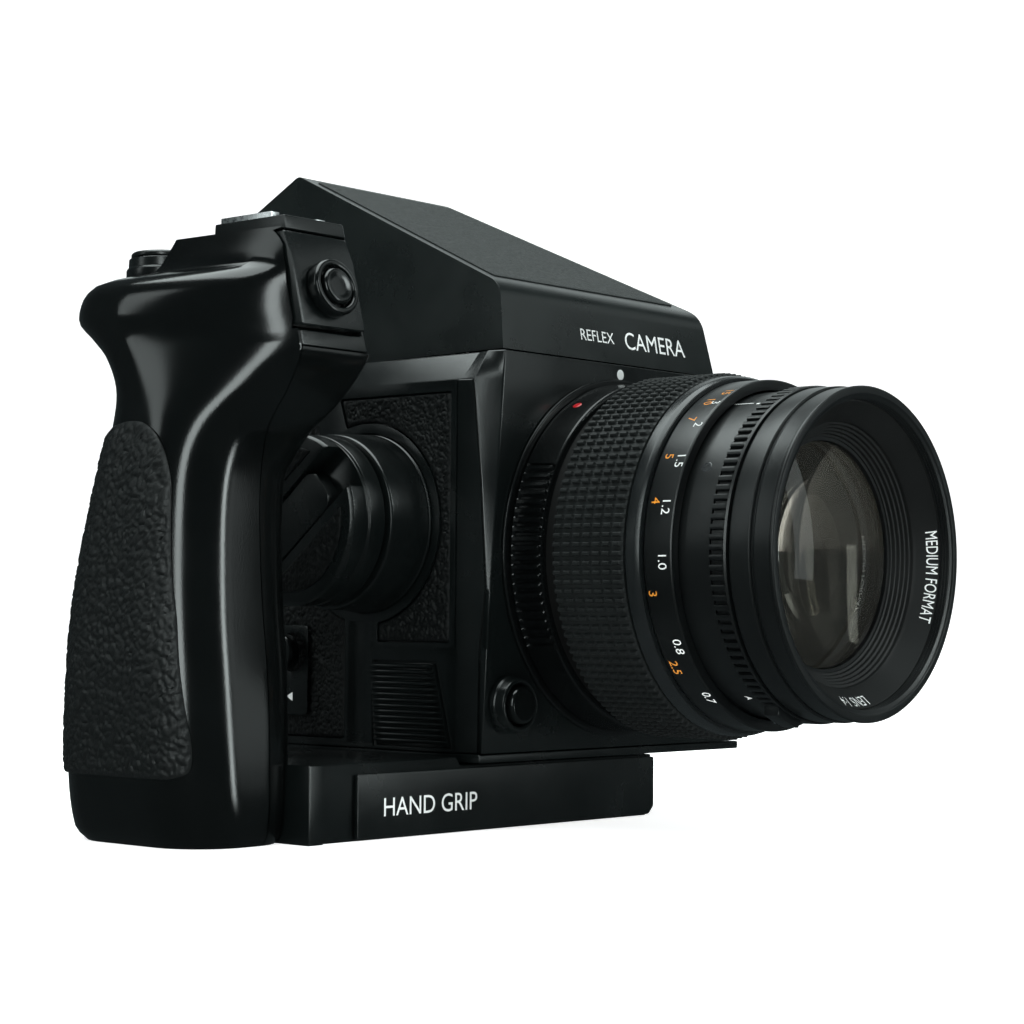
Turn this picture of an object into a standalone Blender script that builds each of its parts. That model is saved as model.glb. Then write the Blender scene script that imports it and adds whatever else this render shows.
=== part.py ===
"""Medium-format reflex camera with prism finder, winding crank and hand grip.

Positions in millimetres are given from the lens axis (X and Z) and from the
body's front face (Y): place() turns them into metres in the model's frame,
whose origin lies on the underside of the grip's base arm, below the body.
The lens looks along -Y and +Z is up.
"""
from math import atan2, cos, pi, radians, sin, tan

import bmesh
import bpy
from mathutils import Matrix, Vector

MM = 0.001
GAP = 0.3                 # clearance between neighbouring pieces

# Driving dimensions, in millimetres.
AXIS_HEIGHT = 65.7        # lens axis above the surface that the camera stands on
FRONT_TO_ORIGIN = 38.5    # origin behind the body's front face
BODY_HALF = 51.6          # half width of the body at its base
BODY_WALL = 49.5          # half width of the body under its side covers
BODY_TOP = 48.6           # top of the body
BODY_FLOOR = -47.4        # underside of the body shell
BODY_DEPTH = 78.0         # front face to the film back's seat
CASTING_DEPTH = 8.2       # front casting
THROAT_R = 37.0           # lens throat
CHAMBER_HALF = 37.0       # mirror chamber, half width
CRANK_Y = 38.5            # winding crank's axis
CRANK_Z = 7.5
SLOT_ANGLE = radians(39)  # the crank handle's slot, down towards the front
RELEASE_CENTRE = (-42.0, 0, -36.0)
LUG_CENTRE = (0, 69.0, 33.0)
CATCH_CENTRE = (0, 63.5, -24.5)
DIAL_CENTRE = (0, 30.0, 12.0)
EYEPIECE = (0, 0, 74.0)
ROOF_FRONT = (5.0, 65.4)  # ends of the finder roof's line, Y and Z
ROOF_PEAK = (88.0, 102.8)
HANDLE_HINGE_R = 15.4     # crank handle's hinge from the crank's axis
BASE_TOP = -50.1          # top of the base arm under the body
BASE_FLOOR = -AXIS_HEIGHT
SEAM_X = -110.3           # joint between the two halves of the grip
HEAD_LEAN = radians(12.5) # the grip head's face leans back
MIRROR_HINGE = (75.0, 33.0)
MIRROR_LENGTH = 66.0
STEPS = 48                # facets around a turned piece

# Lens rings: distance in front of the body's front face.
RUBBER_BACK, RUBBER_FRONT = 15.0, 35.9
BAND_FRONT = 40.0
SCALE_FRONT = 48.5
BARREL_FRONT = 56.8
APERTURE_FRONT = 61.9
RIM_FRONT = 74.2
RUBBER_R = 44.2
FOCUS_BORE = 39.2
BARREL_R = 38.8
RIM_R = 39.0

for old in list(bpy.context.scene.objects):
    bpy.data.objects.remove(old, do_unlink=True)


def collection(name):
    """A new collection linked into the scene."""
    group = bpy.data.collections.new(name)
    bpy.context.scene.collection.children.link(group)
    return group


CAMERA = collection("reflex_camera")
CUTTERS = collection("cutters")


def place(x, y, z):
    """Metres in the model's frame, from millimetres off the lens axis and front face."""
    return Vector((x, y - FRONT_TO_ORIGIN, z + AXIS_HEIGHT)) * MM


def paint(name, color, roughness, metallic=0.0, transmission=0.0):
    """A plain Principled material."""
    material = bpy.data.materials.new(name)
    material.use_nodes = True
    shader = material.node_tree.nodes["Principled BSDF"]
    shader.inputs["Base Color"].default_value = (*color, 1.0)
    shader.inputs["Roughness"].default_value = roughness
    shader.inputs["Metallic"].default_value = metallic
    shader.inputs["Transmission Weight"].default_value = transmission
    return material


BLACK = (0.012, 0.015, 0.015)
COLORS = {
    "satin": (BLACK, 0.42, 0.0, 0.0),
    "gloss": ((0.008, 0.009, 0.01), 0.16, 0.0, 0.0),
    "leather": ((0.018, 0.021, 0.021), 0.62, 0.0, 0.0),
    "rubber": ((0.02, 0.023, 0.024), 0.7, 0.0, 0.0),
    "anodised": ((0.02, 0.022, 0.023), 0.36, 0.6, 0.0),
    "steel": ((0.55, 0.56, 0.57), 0.3, 1.0, 0.0),
    "silver": ((0.85, 0.86, 0.87), 0.05, 1.0, 0.0),
    "glass": ((0.7, 0.68, 0.62), 0.02, 0.0, 0.9),
    "matt": ((0.01, 0.01, 0.01), 0.85, 0.0, 0.0),
}


def add(name, mesh, finish, group=None):
    """Wrap a mesh in a named object with its own material."""
    piece = bpy.data.objects.new(name, mesh)
    (group or CAMERA).objects.link(piece)
    if group is None:
        mesh.materials.append(paint(name, *COLORS[finish]))
    return piece


def cutter(name, mesh):
    """A tool for Boolean cuts, kept out of the render."""
    piece = add(name, mesh, None, CUTTERS)
    piece.hide_render = True
    piece.display_type = "WIRE"
    return piece


def apply_cut(piece, tool, operation="DIFFERENCE"):
    """Cut or join one piece with a tool."""
    boolean = piece.modifiers.new(tool.name, "BOOLEAN")
    boolean.object = tool
    boolean.operation = operation
    boolean.solver = "EXACT"


def round_edges(piece, width, segments=1, angle=35):
    """Rounded edges, as a Bevel modifier."""
    bevel = piece.modifiers.new("edges", "BEVEL")
    bevel.width = width * MM
    bevel.segments = segments
    bevel.limit_method = "ANGLE"
    bevel.angle_limit = radians(angle)


def mesh_from(bm, name):
    """Finish a bmesh as a mesh with its faces pointing out."""
    bmesh.ops.recalc_face_normals(bm, faces=bm.faces)
    mesh = bpy.data.meshes.new(name)
    bm.to_mesh(mesh)
    bm.free()
    return mesh


def box_mesh(name, low, high, spin=None):
    """A box between two corners, turned about its centre by the matrix spin."""
    low, high = Vector(low), Vector(high)
    bm = bmesh.new()
    bmesh.ops.create_cube(bm, size=1.0)
    size = (high - low) * MM
    bmesh.ops.scale(bm, vec=size, verts=bm.verts)
    if spin:
        bmesh.ops.rotate(bm, matrix=spin, verts=bm.verts)
    bmesh.ops.translate(bm, vec=place(*((low + high) / 2)), verts=bm.verts)
    return mesh_from(bm, name)


def box(name, low, high, finish, bevel=0.0, spin=None):
    """A box piece between two corners, with optional rounded edges."""
    piece = add(name, box_mesh(name, low, high, spin), finish)
    if bevel:
        round_edges(piece, bevel)
    return piece


def box_cut(piece, name, low, high, spin=None):
    """Cut a box out of a piece."""
    tool = cutter(name, box_mesh(name, low, high, spin))
    apply_cut(piece, tool)
    return tool


AIM = {
    "-Y": Matrix.Rotation(pi / 2, 4, "X"),
    "-X": Matrix.Rotation(-pi / 2, 4, "Y"),
    "+X": Matrix.Rotation(pi / 2, 4, "Y"),
    "+Z": Matrix.Identity(4),
}


def turned(name, profile, centre, aim, finish, group=None, steps=STEPS):
    """Turn a closed profile of (radius, height) about an axis through centre.

    The profile runs down its outer side. Where it starts and ends on the axis
    the piece is solid, and elsewhere it is a ring.
    """
    mesh = bpy.data.meshes.new(name)
    count = len(profile)
    solid = profile[0][0] == 0
    edges = [(i, i + 1) for i in range(count - 1)]
    if not solid:
        edges.append((count - 1, 0))
    mesh.from_pydata([(r * MM, 0, h * MM) for r, h in profile], edges, [])
    piece = add(name, mesh, finish, group)
    piece.matrix_world = Matrix.Translation(place(*centre)) @ (AIM[aim] if isinstance(aim, str) else aim)
    screw = piece.modifiers.new("turn", "SCREW")
    screw.steps = steps
    screw.render_steps = steps
    screw.use_merge_vertices = True
    screw.merge_threshold = 0.00001
    screw.use_smooth_shade = False
    return piece


def ring(name, outer, inner, low, high, centre, aim, finish, steps=STEPS):
    """A plain ring between two heights on its axis."""
    profile = [(outer, high), (outer, low), (inner, low), (inner, high)]
    return turned(name, profile, centre, aim, finish, steps=steps)


def disc_cut(piece, name, radius, low, high, centre, aim, steps=STEPS):
    """Bore a round hole in a piece."""
    profile = [(0, high), (radius, high), (radius, low), (0, low)]
    tool = turned(name, profile, centre, aim, None, CUTTERS, steps)
    tool.hide_render = True
    tool.display_type = "WIRE"
    apply_cut(piece, tool)
    return tool


def lens_ring(name, profile, finish):
    """A ring about the lens axis; its heights are distances in front of the body."""
    return turned(name, profile, (0, 0, 0), "-Y", finish)


def plate_mesh(name, outline, low, high, axis):
    """A flat outline, drawn in the plane across an axis, given thickness along it."""
    curve = bpy.data.curves.new(name, "CURVE")
    curve.dimensions = "2D"
    curve.fill_mode = "BOTH"
    curve.extrude = (high - low) / 2 * MM
    spline = curve.splines.new("POLY")
    spline.points.add(len(outline) - 1)
    for point, (a, b) in zip(spline.points, outline):
        point.co = (a * MM, b * MM, 0, 1)
    spline.use_cyclic_u = True
    holder = bpy.data.objects.new(name + "_outline", curve)
    CUTTERS.objects.link(holder)
    middle = (low + high) / 2
    frames = {
        "X": (Matrix(((0, 0, 1, 0), (1, 0, 0, 0), (0, 1, 0, 0), (0, 0, 0, 1))), (middle, 0, 0)),
        "Y": (Matrix(((1, 0, 0, 0), (0, 0, -1, 0), (0, 1, 0, 0), (0, 0, 0, 1))), (0, middle, 0)),
        "Z": (Matrix.Identity(4), (0, 0, middle)),
    }
    turn, offset = frames[axis]
    bpy.context.view_layer.update()
    graph = bpy.context.evaluated_depsgraph_get()
    mesh = bpy.data.meshes.new_from_object(holder.evaluated_get(graph))
    bpy.data.objects.remove(holder)
    bm = bmesh.new()
    bm.from_mesh(mesh)
    bmesh.ops.remove_doubles(bm, verts=bm.verts, dist=0.00001)
    bmesh.ops.transform(bm, matrix=Matrix.Translation(place(*offset)) @ turn, verts=bm.verts)
    bpy.data.meshes.remove(mesh)
    return mesh_from(bm, name)


def plate(name, outline, low, high, axis, finish, bevel=0.0):
    """A flat piece cut to an outline: (Y, Z) across X, (X, Z) across Y, (X, Y) across Z."""
    piece = add(name, plate_mesh(name, outline, low, high, axis), finish)
    if bevel:
        round_edges(piece, bevel)
    return piece


def loft_mesh(name, sections):
    """A closed skin through rings of points, capped at both ends."""
    bm = bmesh.new()
    rings = [[bm.verts.new(place(*p)) for p in section] for section in sections]
    for lower, upper in zip(rings, rings[1:]):
        for i in range(len(lower)):
            j = (i + 1) % len(lower)
            bm.faces.new((lower[i], lower[j], upper[j], upper[i]))
    bm.faces.new(rings[0])
    bm.faces.new(rings[-1])
    return mesh_from(bm, name)


def mirrored(half):
    """An outline symmetric about X = 0 from its half at negative X, bottom to top."""
    return half + [(-x, z) for x, z in reversed(half)]


def arc(centre, radius, start, end, count):
    """Points on a circle between two angles in degrees, both ends included."""
    turns = [radians(start + (end - start) * i / (count - 1)) for i in range(count)]
    return [(centre[0] + radius * cos(t), centre[1] + radius * sin(t)) for t in turns]


# Height, then half width and depth of the line where the front casting meets the
# side covers, and the half width of the casting's front edge.
CASTING_SEAM = [(BODY_FLOOR, 49.5, 2.6, 51.2), (-23.0, 49.4, 2.4, 49.6), (-9.0, 49.0, 1.1, 48.5),
                (17.0, 49.4, 2.4, 46.4), (41.5, 50.1, 4.6, 44.4), (BODY_TOP, 45.2, 4.6, 43.9)]


def add_front_casting():
    """Front of the body: narrow at the top in front, full width behind."""
    front = mirrored([(-edge, z) for z, _, _, edge in CASTING_SEAM])
    seam = [(-half, depth, z) for z, half, depth, _ in CASTING_SEAM]
    seam += [(-x, depth, z) for x, depth, z in reversed(seam)]
    back = mirrored([(-51.3, z) for z, _, _, _ in CASTING_SEAM[:-1]] + [(-45.9, BODY_TOP)])
    sections = [[(x, 0, z) for x, z in front], seam, [(x, CASTING_DEPTH, z) for x, z in back]]
    piece = add("front_casting", loft_mesh("front_casting", sections), "satin")
    round_edges(piece, 0.6)
    disc_cut(piece, "throat_cut", THROAT_R, -30, 5, (0, 0, 0), "-Y")
    disc_cut(piece, "release_bore", 3.2, -30, 5, RELEASE_CENTRE, "-Y", 24)


def add_main_body():
    """Body shell around the mirror chamber, open to the lens, finder and film back."""
    half = [(-BODY_WALL, BODY_FLOOR), (-BODY_WALL, 41.3), (-43.5, BODY_TOP)]
    outline = mirrored(half)
    start = CASTING_DEPTH + GAP
    piece = plate("main_body", outline, start, BODY_DEPTH, "Y", "satin", 0.8)
    box_cut(piece, "chamber_cut", (-CHAMBER_HALF, 0, -38), (CHAMBER_HALF, 90, 38.5))
    box_cut(piece, "light_cut", (-CHAMBER_HALF, 13, 30), (CHAMBER_HALF, 74.5, 45))
    box_cut(piece, "screen_cut", (-38.5, 12, 40.1), (38.5, 75.5, 60))
    disc_cut(piece, "socket_cut", 5.5, -50, -42, (0, CRANK_Y, 0), "+Z", 24)
    disc_cut(piece, "boss_cut", 8, 40, 52, (0, CRANK_Y, CRANK_Z), "-X", 24)
    for aim in ("-X", "+X"):
        profile = [(0, 58.6), (3.6, 58.6), (3.6, 56.6), (2.0, 56.6), (2.0, 47), (0, 47)]
        lug = turned("strap_lug" + aim, profile, LUG_CENTRE, aim, None, CUTTERS, steps=20)
        lug.hide_render = True
        lug.display_type = "WIRE"
        apply_cut(piece, lug, "UNION")


def add_body_trim():
    """Base plate, lens flange and the side covers with their windows."""
    base = box("body_base_plate", (-BODY_HALF, 0.4, -49.6), (BODY_HALF, BODY_DEPTH, BODY_FLOOR - GAP),
               "satin", 0.5)
    disc_cut(base, "base_plate_bore", 5.2, -60, -40, (0, CRANK_Y, 0), "+Z", 24)
    ring("lens_flange", 44.8, THROAT_R + 1, GAP, 1.0, (0, 0, 0), "-Y", "steel")
    for side, name in ((-1, "right"), (1, "left")):
        near, far = side * (BODY_WALL + GAP), side * (BODY_HALF - 0.2)
        low, high = min(near, far), max(near, far)
        outline = [(CASTING_DEPTH + GAP + 0.3, BODY_FLOOR), (BODY_DEPTH, BODY_FLOOR),
                   (BODY_DEPTH, 41.3), (CASTING_DEPTH + GAP + 0.3, 41.3)]
        cover = plate("side_cover_" + name, outline, low, high, "X", "satin", 0.5)
        windows = SIDE_WINDOWS if side < 0 else LEFT_WINDOWS
        for label, window in windows.items():
            tool = cutter("window_" + name + "_" + label,
                          plate_mesh("window", window, -60 if side < 0 else 40, -40 if side < 0 else 60, "X"))
            apply_cut(cover, tool)
        if side < 0:
            disc_cut(cover, "boss_hole", 22.6, 40, 60, (0, CRANK_Y, CRANK_Z), "-X")
            hole = [(9.9, -46.6), (34.8, -46.6), (36.9, -25.9), (15.4, -25.9)]
            apply_cut(cover, cutter("cover_seat", plate_mesh("cover_seat", hole, -60, -40, "X")))


def inset(outline, distance):
    """The same outline drawn in by a distance along every side."""
    points = [Vector(p) for p in outline]
    area = sum(a.x * b.y - b.x * a.y for a, b in zip(points, points[1:] + points[:1]))
    inward = 1 if area > 0 else -1
    result = []
    for before, point, after in zip(points[-1:] + points[:-1], points, points[1:] + points[:1]):
        first, second = (point - before).normalized(), (after - point).normalized()
        normal = Vector((-first.y - second.y, first.x + second.x)) * inward
        reach = distance / max(normal.length / 2, 0.5)
        result.append(tuple(point + normal.normalized() * reach))
    return result


BOSS_CLEAR_R = 24.6
SIDE_WINDOWS = {
    "front": [(10.3, -21.6), (34.4, -21.6), (34.4, -16.8)]
             + arc((CRANK_Y, CRANK_Z), BOSS_CLEAR_R, 260, 73, 15)[1:]
             + [(48.2, 38.7), (10.3, 38.7)],
    "rear": [(45.4, -45.6), (74.5, -45.6), (74.5, 38.7), (58.0, 38.7), (53.8, 26.8)]
            + arc((CRANK_Y, CRANK_Z), BOSS_CLEAR_R, 50, -70, 10)[1:] + [(45.4, -16.0)],
}
LEFT_WINDOWS = {
    "main": [(10.3, -45.6), (74.5, -45.6), (74.5, 38.7), (10.3, 38.7)],
}


def add_side_leathers():
    """Leather panels lying in the windows of the side covers."""
    for label, window in SIDE_WINDOWS.items():
        panel = plate("leather_right_" + label, inset(window, 0.4), -BODY_HALF - 0.1, -BODY_WALL - GAP, "X",
                      "leather")
        if label == "rear":
            disc_cut(panel, "lug_hole_right", 4.2, 40, 60, LUG_CENTRE, "-X", 20)
    panel = plate("leather_left", inset(LEFT_WINDOWS["main"], 0.4), BODY_WALL + GAP, BODY_HALF + 0.1, "X",
                  "leather")
    disc_cut(panel, "dial_hole", 16.5, 40, 60, DIAL_CENTRE, "+X")
    disc_cut(panel, "lug_hole_left", 4.2, 40, 60, LUG_CENTRE, "+X", 20)


def add_crank():
    """Winding crank: boss, drum with a folding handle in its face, leather inlays."""
    centre = (0, CRANK_Y, CRANK_Z)
    turned("crank_boss", [(21.2, 64.4), (21.9, 63.6), (21.9, BODY_WALL + GAP), (4.6, BODY_WALL + GAP),
                          (4.6, 64.4)], centre, "-X", "satin")
    drum = turned("crank_drum", [(0, 77), (19.9, 77), (20.6, 76.2), (20.6, 71.9), (20.0, 71.6),
                                 (20.0, 71.1), (20.6, 70.8), (20.6, 66.0), (19.8, 65.2), (4.0, 65.2),
                                 (4.0, 44.5), (0, 44.5)], centre, "-X", "satin")
    spin = Matrix.Rotation(-SLOT_ANGLE, 4, "X")
    slot = cutter("slot_cut", box_mesh("slot_cut", (-80, CRANK_Y - 17.5, CRANK_Z - 6.2),
                                       (-71.5, CRANK_Y + 17.5, CRANK_Z + 6.2)))
    slot.data.transform(Matrix.Translation(place(*centre)) @ spin @ Matrix.Translation(-place(*centre)))
    apply_cut(drum, slot)
    handle = add("crank_handle", box_mesh("crank_handle", (-76.6, CRANK_Y - 13.0, CRANK_Z - 5.7),
                                          (-71.9, CRANK_Y + 16.5, CRANK_Z + 5.7)), "satin")
    handle.data.transform(Matrix.Translation(place(*centre)) @ spin @ Matrix.Translation(-place(*centre)))
    round_edges(handle, 0.5)
    turn = pi - SLOT_ANGLE
    for label, start in (("upper", 28), ("lower", 208)):
        flat = arc((0, 0), 17.6, start, start + 124, 15)
        outline = [(CRANK_Y + a * cos(turn) - b * sin(turn), CRANK_Z + a * sin(turn) + b * cos(turn))
                   for a, b in flat]
        plate("crank_inlay_" + label, outline, -77.8, -77.0 - GAP, "X", "leather")


def add_body_controls():
    """Release button with its collar, ribbed cover, back catch and speed dial."""
    turned("release_collar", [(7.0, 1.6), (7.0, GAP), (5.0, GAP), (5.0, 4.2), (6.2, 4.2), (6.6, 3.8)],
           RELEASE_CENTRE, "-Y", "gloss", steps=32)
    turned("release_button",
           [(0, 5.5), (3.9, 5.4), (4.5, 4.9), (4.5, 2.6), (2.6, 2.6), (2.6, -5.5), (0, -5.5)],
           RELEASE_CENTRE, "-Y", "gloss", steps=32)
    outline = [(10.4, -46.2), (34.4, -46.2), (36.4, -26.4), (15.8, -26.4)]
    plate("ribbed_cover", outline, -BODY_HALF - 1.6, -BODY_WALL - GAP, "X", "satin", 0.4)
    trim = box("catch_plate", (-BODY_HALF - 0.9, 57.6, -40.2), (-BODY_HALF - 0.4, 69.4, -17.6), "satin")
    disc_cut(trim, "catch_bore", 5.0, 40, 60, CATCH_CENTRE, "-X", 24)
    turned("catch_button", [(0, 57.2), (4.2, 57.2), (4.6, 56.8), (4.6, 54.0), (0, 54.0)],
           CATCH_CENTRE, "-X", "gloss", steps=24)
    turned("speed_dial",
           [(0, 58.5), (14.6, 58.5), (15.6, 57.6), (15.6, 52.1), (3.8, 52.1), (3.8, 50.2), (0, 50.2)],
           DIAL_CENTRE, "+X", "anodised")


def add_mirror_group():
    """Reflex mirror on its carrier, and the focusing screen above them."""
    hinge_y, hinge_z = MIRROR_HINGE
    lean = Matrix.Rotation(radians(45), 4, "X")
    pivot = place(0, hinge_y, hinge_z)
    for name, half, start, low, high, finish in (("mirror_carrier", 34, 0, -2.2, 0, "matt"),
                                                 ("reflex_mirror", 32, 3, GAP, 1.8, "silver")):
        mesh = box_mesh(name, (-half, hinge_y - MIRROR_LENGTH + start, hinge_z + low),
                        (half, hinge_y - start, hinge_z + high))
        mesh.transform(Matrix.Translation(pivot) @ lean @ Matrix.Translation(-pivot))
        piece = add(name, mesh, finish)
        move_origin(piece, pivot)
    box("focusing_screen", (-38.0, 12.5, 40.5), (38.0, 75.0, 43.5), "glass")


def move_origin(piece, point):
    """Put a piece's origin on a point, leaving its shape where it is."""
    piece.data.transform(Matrix.Translation(-point))
    piece.matrix_world = Matrix.Translation(point)


FINDER_FLOOR = BODY_TOP + 0.6


def finder_half(profile_point, grow=0.0):
    """Half width of the finder at a point (Y, Z) of its side."""
    y, z = profile_point
    return 42.4 - 0.117 * (z - 49.3) - 0.084 * (y - 2) + grow


def finder_skin(name, profile, grow):
    """The finder's faceted form: a side profile with a half width at each point."""
    left = [(-finder_half(p, grow), *p) for p in profile]
    right = [(finder_half(p, grow), *p) for p in profile]
    return loft_mesh(name, [left, right])


FINDER_LIP = [(4.28, 61.5), (4.8, 63.4), (5.6, 65.0), (6.9, 66.15), (8.7, 67.06)]
FINDER_PROFILE = [(2.0, FINDER_FLOOR)] + FINDER_LIP + [ROOF_PEAK, (106.0, 94.0), (121.0, 86.0),
                  (121.0, 62.0), (100.0, 54.0), (80.0, FINDER_FLOOR)]
FINDER_CAVITY = [(6.0, 40.0), (8.5, 62.0), (87.0, 98.0), (104.0, 89.5), (112.0, 84.0),
                 (112.0, 66.0), (98.0, 58.0), (76.0, 52.0), (76.0, 40.0)]


def add_finder():
    """Prism finder: housing, roof leather, pentaprism, eyepiece."""
    housing = add("prism_housing", finder_skin("prism_housing", FINDER_PROFILE, 0), "satin")
    round_edges(housing, 1.1, 2, 20)
    apply_cut(housing, cutter("finder_cavity", finder_skin("finder_cavity", FINDER_CAVITY, -3.4)))
    disc_cut(housing, "eyepiece_bore", 9.0, -130, -100, EYEPIECE, "-Y", 32)
    slope = atan2(ROOF_PEAK[1] - ROOF_FRONT[1], ROOF_PEAK[0] - ROOF_FRONT[0])
    along = Vector((0, cos(slope), sin(slope)))
    normal = Vector((0, -sin(slope), cos(slope)))
    corner = Vector((0, *ROOF_FRONT))
    sections = []
    for lift in (GAP, 0.8):
        ends = []
        for distance, side in ((7, -1), (86, -1), (86, 1), (7, 1)):
            point = corner + along * distance + normal * lift
            half = finder_half((point.y, point.z)) - 3.6
            ends.append((side * half, point.y, point.z))
        sections.append(ends)
    add("roof_leather", loft_mesh("roof_leather", sections), "leather")
    prism = [(8.0, 52.5), (10.5, 60.0), (72.0, 88.0), (86.0, 80.0), (86.0, 66.0), (74.0, 53.0)]
    left = [(-29.0 + 0.05 * y, y, z) for y, z in prism]
    right = [(29.0 - 0.05 * y, y, z) for y, z in prism]
    add("pentaprism", loft_mesh("pentaprism", [left, right]), "glass")
    turned("eyepiece_frame", [(15.0, -121.3), (15.0, -124.0), (13.6, -125.2), (10.5, -125.2), (10.5, -121.3)],
           EYEPIECE, "-Y", "rubber", steps=32)
    turned("eyepiece_lens", [(0, -112.5), (8.7, -113.5), (8.7, -119.0), (0, -117.5)],
           EYEPIECE, "-Y", "glass", steps=32)


BACK_FRONT, BACK_REAR = BODY_DEPTH + 0.4, 119.0


def add_film_back():
    """Film back: housing, drawer with its spools and pressure plate, dark slide."""
    shell = box("back_housing", (-48.5, BACK_FRONT, -46.5), (48.5, BACK_REAR - 3.4, 44.5), "satin", 1.6)
    box_cut(shell, "drawer_cut", (-44.5, 87.5, -42.5), (44.5, 130, 40.5))
    box_cut(shell, "gate_cut", (-36, 70, -29), (36, 100, 29))
    box_cut(shell, "slide_slot", (-40, 80.2, -33), (60, 82.0, 33))
    slide = box("dark_slide", (-38.5, 80.5, -32), (51.5, 81.7, 32), "steel")
    pull = box_mesh("slide_pull", (50.8, 79.6, -20), (56.5, 82.6, 20))
    apply_cut(slide, cutter("slide_pull", pull), "UNION")
    drawer = box("film_drawer", (-44.1, 88.0, -42.1), (44.1, BACK_REAR - 3.8, 40.1), "satin")
    box_cut(drawer, "spool_room", (-39.5, 89.4, -40.0), (39.5, 113.9, 38.0))
    box_cut(drawer, "drawer_gate", (-36, 80, -29), (36, 95, 29))
    box("rear_cover", (-48.5, BACK_REAR - 3.1, -46.5), (48.5, BACK_REAR, 44.5), "satin", 1.0)
    box("pressure_plate", (-35.5, 88.2, -28.5), (35.5, 89.2, 28.5), "anodised")
    spool = [(0, 33), (11.9, 33), (11.9, 31.5), (5.5, 31.5), (5.5, -31.5), (11.9, -31.5), (11.9, -33),
             (0, -33)]
    turned("supply_spool", spool, (0, 101.5, -27.6), "+X", "matt", steps=20)
    turned("take_up_spool", spool, (0, 101.5, 25.6), "+X", "matt", steps=20)


def add_lens():
    """Lens rings, barrel, shutter and glass."""
    lens_ring("lens_mount_ring", [(43.2, 10.8), (43.4, 1.3), (35.8, 1.3), (35.8, -5.0), (34.0, -5.0),
                                  (34.0, 0.5), (36.4, 2.5), (36.4, 39.0), (38.8, 39.0), (38.8, 14.6),
                                  (41.3, 14.6), (41.3, 11.0)], "satin")
    lens_ring("focus_ring", [(43.0, BAND_FRONT), (43.5, 38.6), (43.5, RUBBER_FRONT + GAP),
                             (42.3, RUBBER_FRONT + GAP), (42.3, RUBBER_BACK), (FOCUS_BORE, RUBBER_BACK),
                             (FOCUS_BORE, BAND_FRONT)], "anodised")
    ring("focus_rubber", RUBBER_R, 42.6, RUBBER_BACK, RUBBER_FRONT, (0, 0, 0), "-Y", "rubber")
    ring("distance_scale", 41.9, FOCUS_BORE, BAND_FRONT + GAP, SCALE_FRONT, (0, 0, 0), "-Y", "satin")
    lens_ring("lens_barrel", [(BARREL_R, BARREL_FRONT), (BARREL_R, 40.4), (36.0, 40.4), (36.0, 10.0),
                              (20.6, 10.0), (20.6, 20.0), (33.6, 22.0), (33.6, 48.0), (26.8, 50.0),
                              (26.8, APERTURE_FRONT), (36.6, APERTURE_FRONT),
                              (36.6, BARREL_FRONT)], "satin")
    aperture = ring("aperture_ring", 39.7, 37.0, BARREL_FRONT + GAP, APERTURE_FRONT, (0, 0, 0), "-Y", "satin")
    tab = box_mesh("tab", (-3.2, -61.6, -42.0), (3.2, -57.4, -38.4))
    tab.transform(turn_about_lens(TAB_ANGLE))
    apply_cut(aperture, cutter("aperture_tab", tab), "UNION")
    lens_ring("front_barrel", [(RIM_R, RIM_FRONT), (RIM_R, 73.2), (38.8, 73.2), (38.8, 68.6), (38.3, 68.6),
                               (38.3, 68.0), (39.2, 68.0), (39.2, APERTURE_FRONT + GAP),
                               (32.0, APERTURE_FRONT + GAP), (32.0, 65.0), (36.2, 65.0),
                               (36.2, RIM_FRONT)], "satin")
    lens_ring("name_ring", [(35.9, 71.2), (35.9, 65.4), (31.6, 65.4), (30.0, 62.6), (27.0, 62.6),
                            (27.4, 63.4), (31.3, 66.8)], "matt")
    lens_ring("front_element", [(0, 64.8), (9, 64.4), (18, 63.1), (26.4, 61.0), (26.4, 56.0), (0, 53.0)],
              "glass")
    ring("shutter_housing", 33.2, 17.0, 33.0, 41.0, (0, 0, 0), "-Y", "matt")
    ring("iris_blades", 16.7, 8.0, 36.6, 37.2, (0, 0, 0), "-Y", "anodised", steps=8)
    lens_ring("rear_element", [(0, 19.0), (20.2, 17.5), (20.2, 12.0), (0, 9.0)], "glass")


TAB_ANGLE = radians(22)


def turn_about_lens(angle):
    """Rotation about the lens axis in the model's frame."""
    centre = place(0, 0, 0)
    return Matrix.Translation(centre) @ Matrix.Rotation(angle, 4, "Y") @ Matrix.Translation(-centre)


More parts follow.
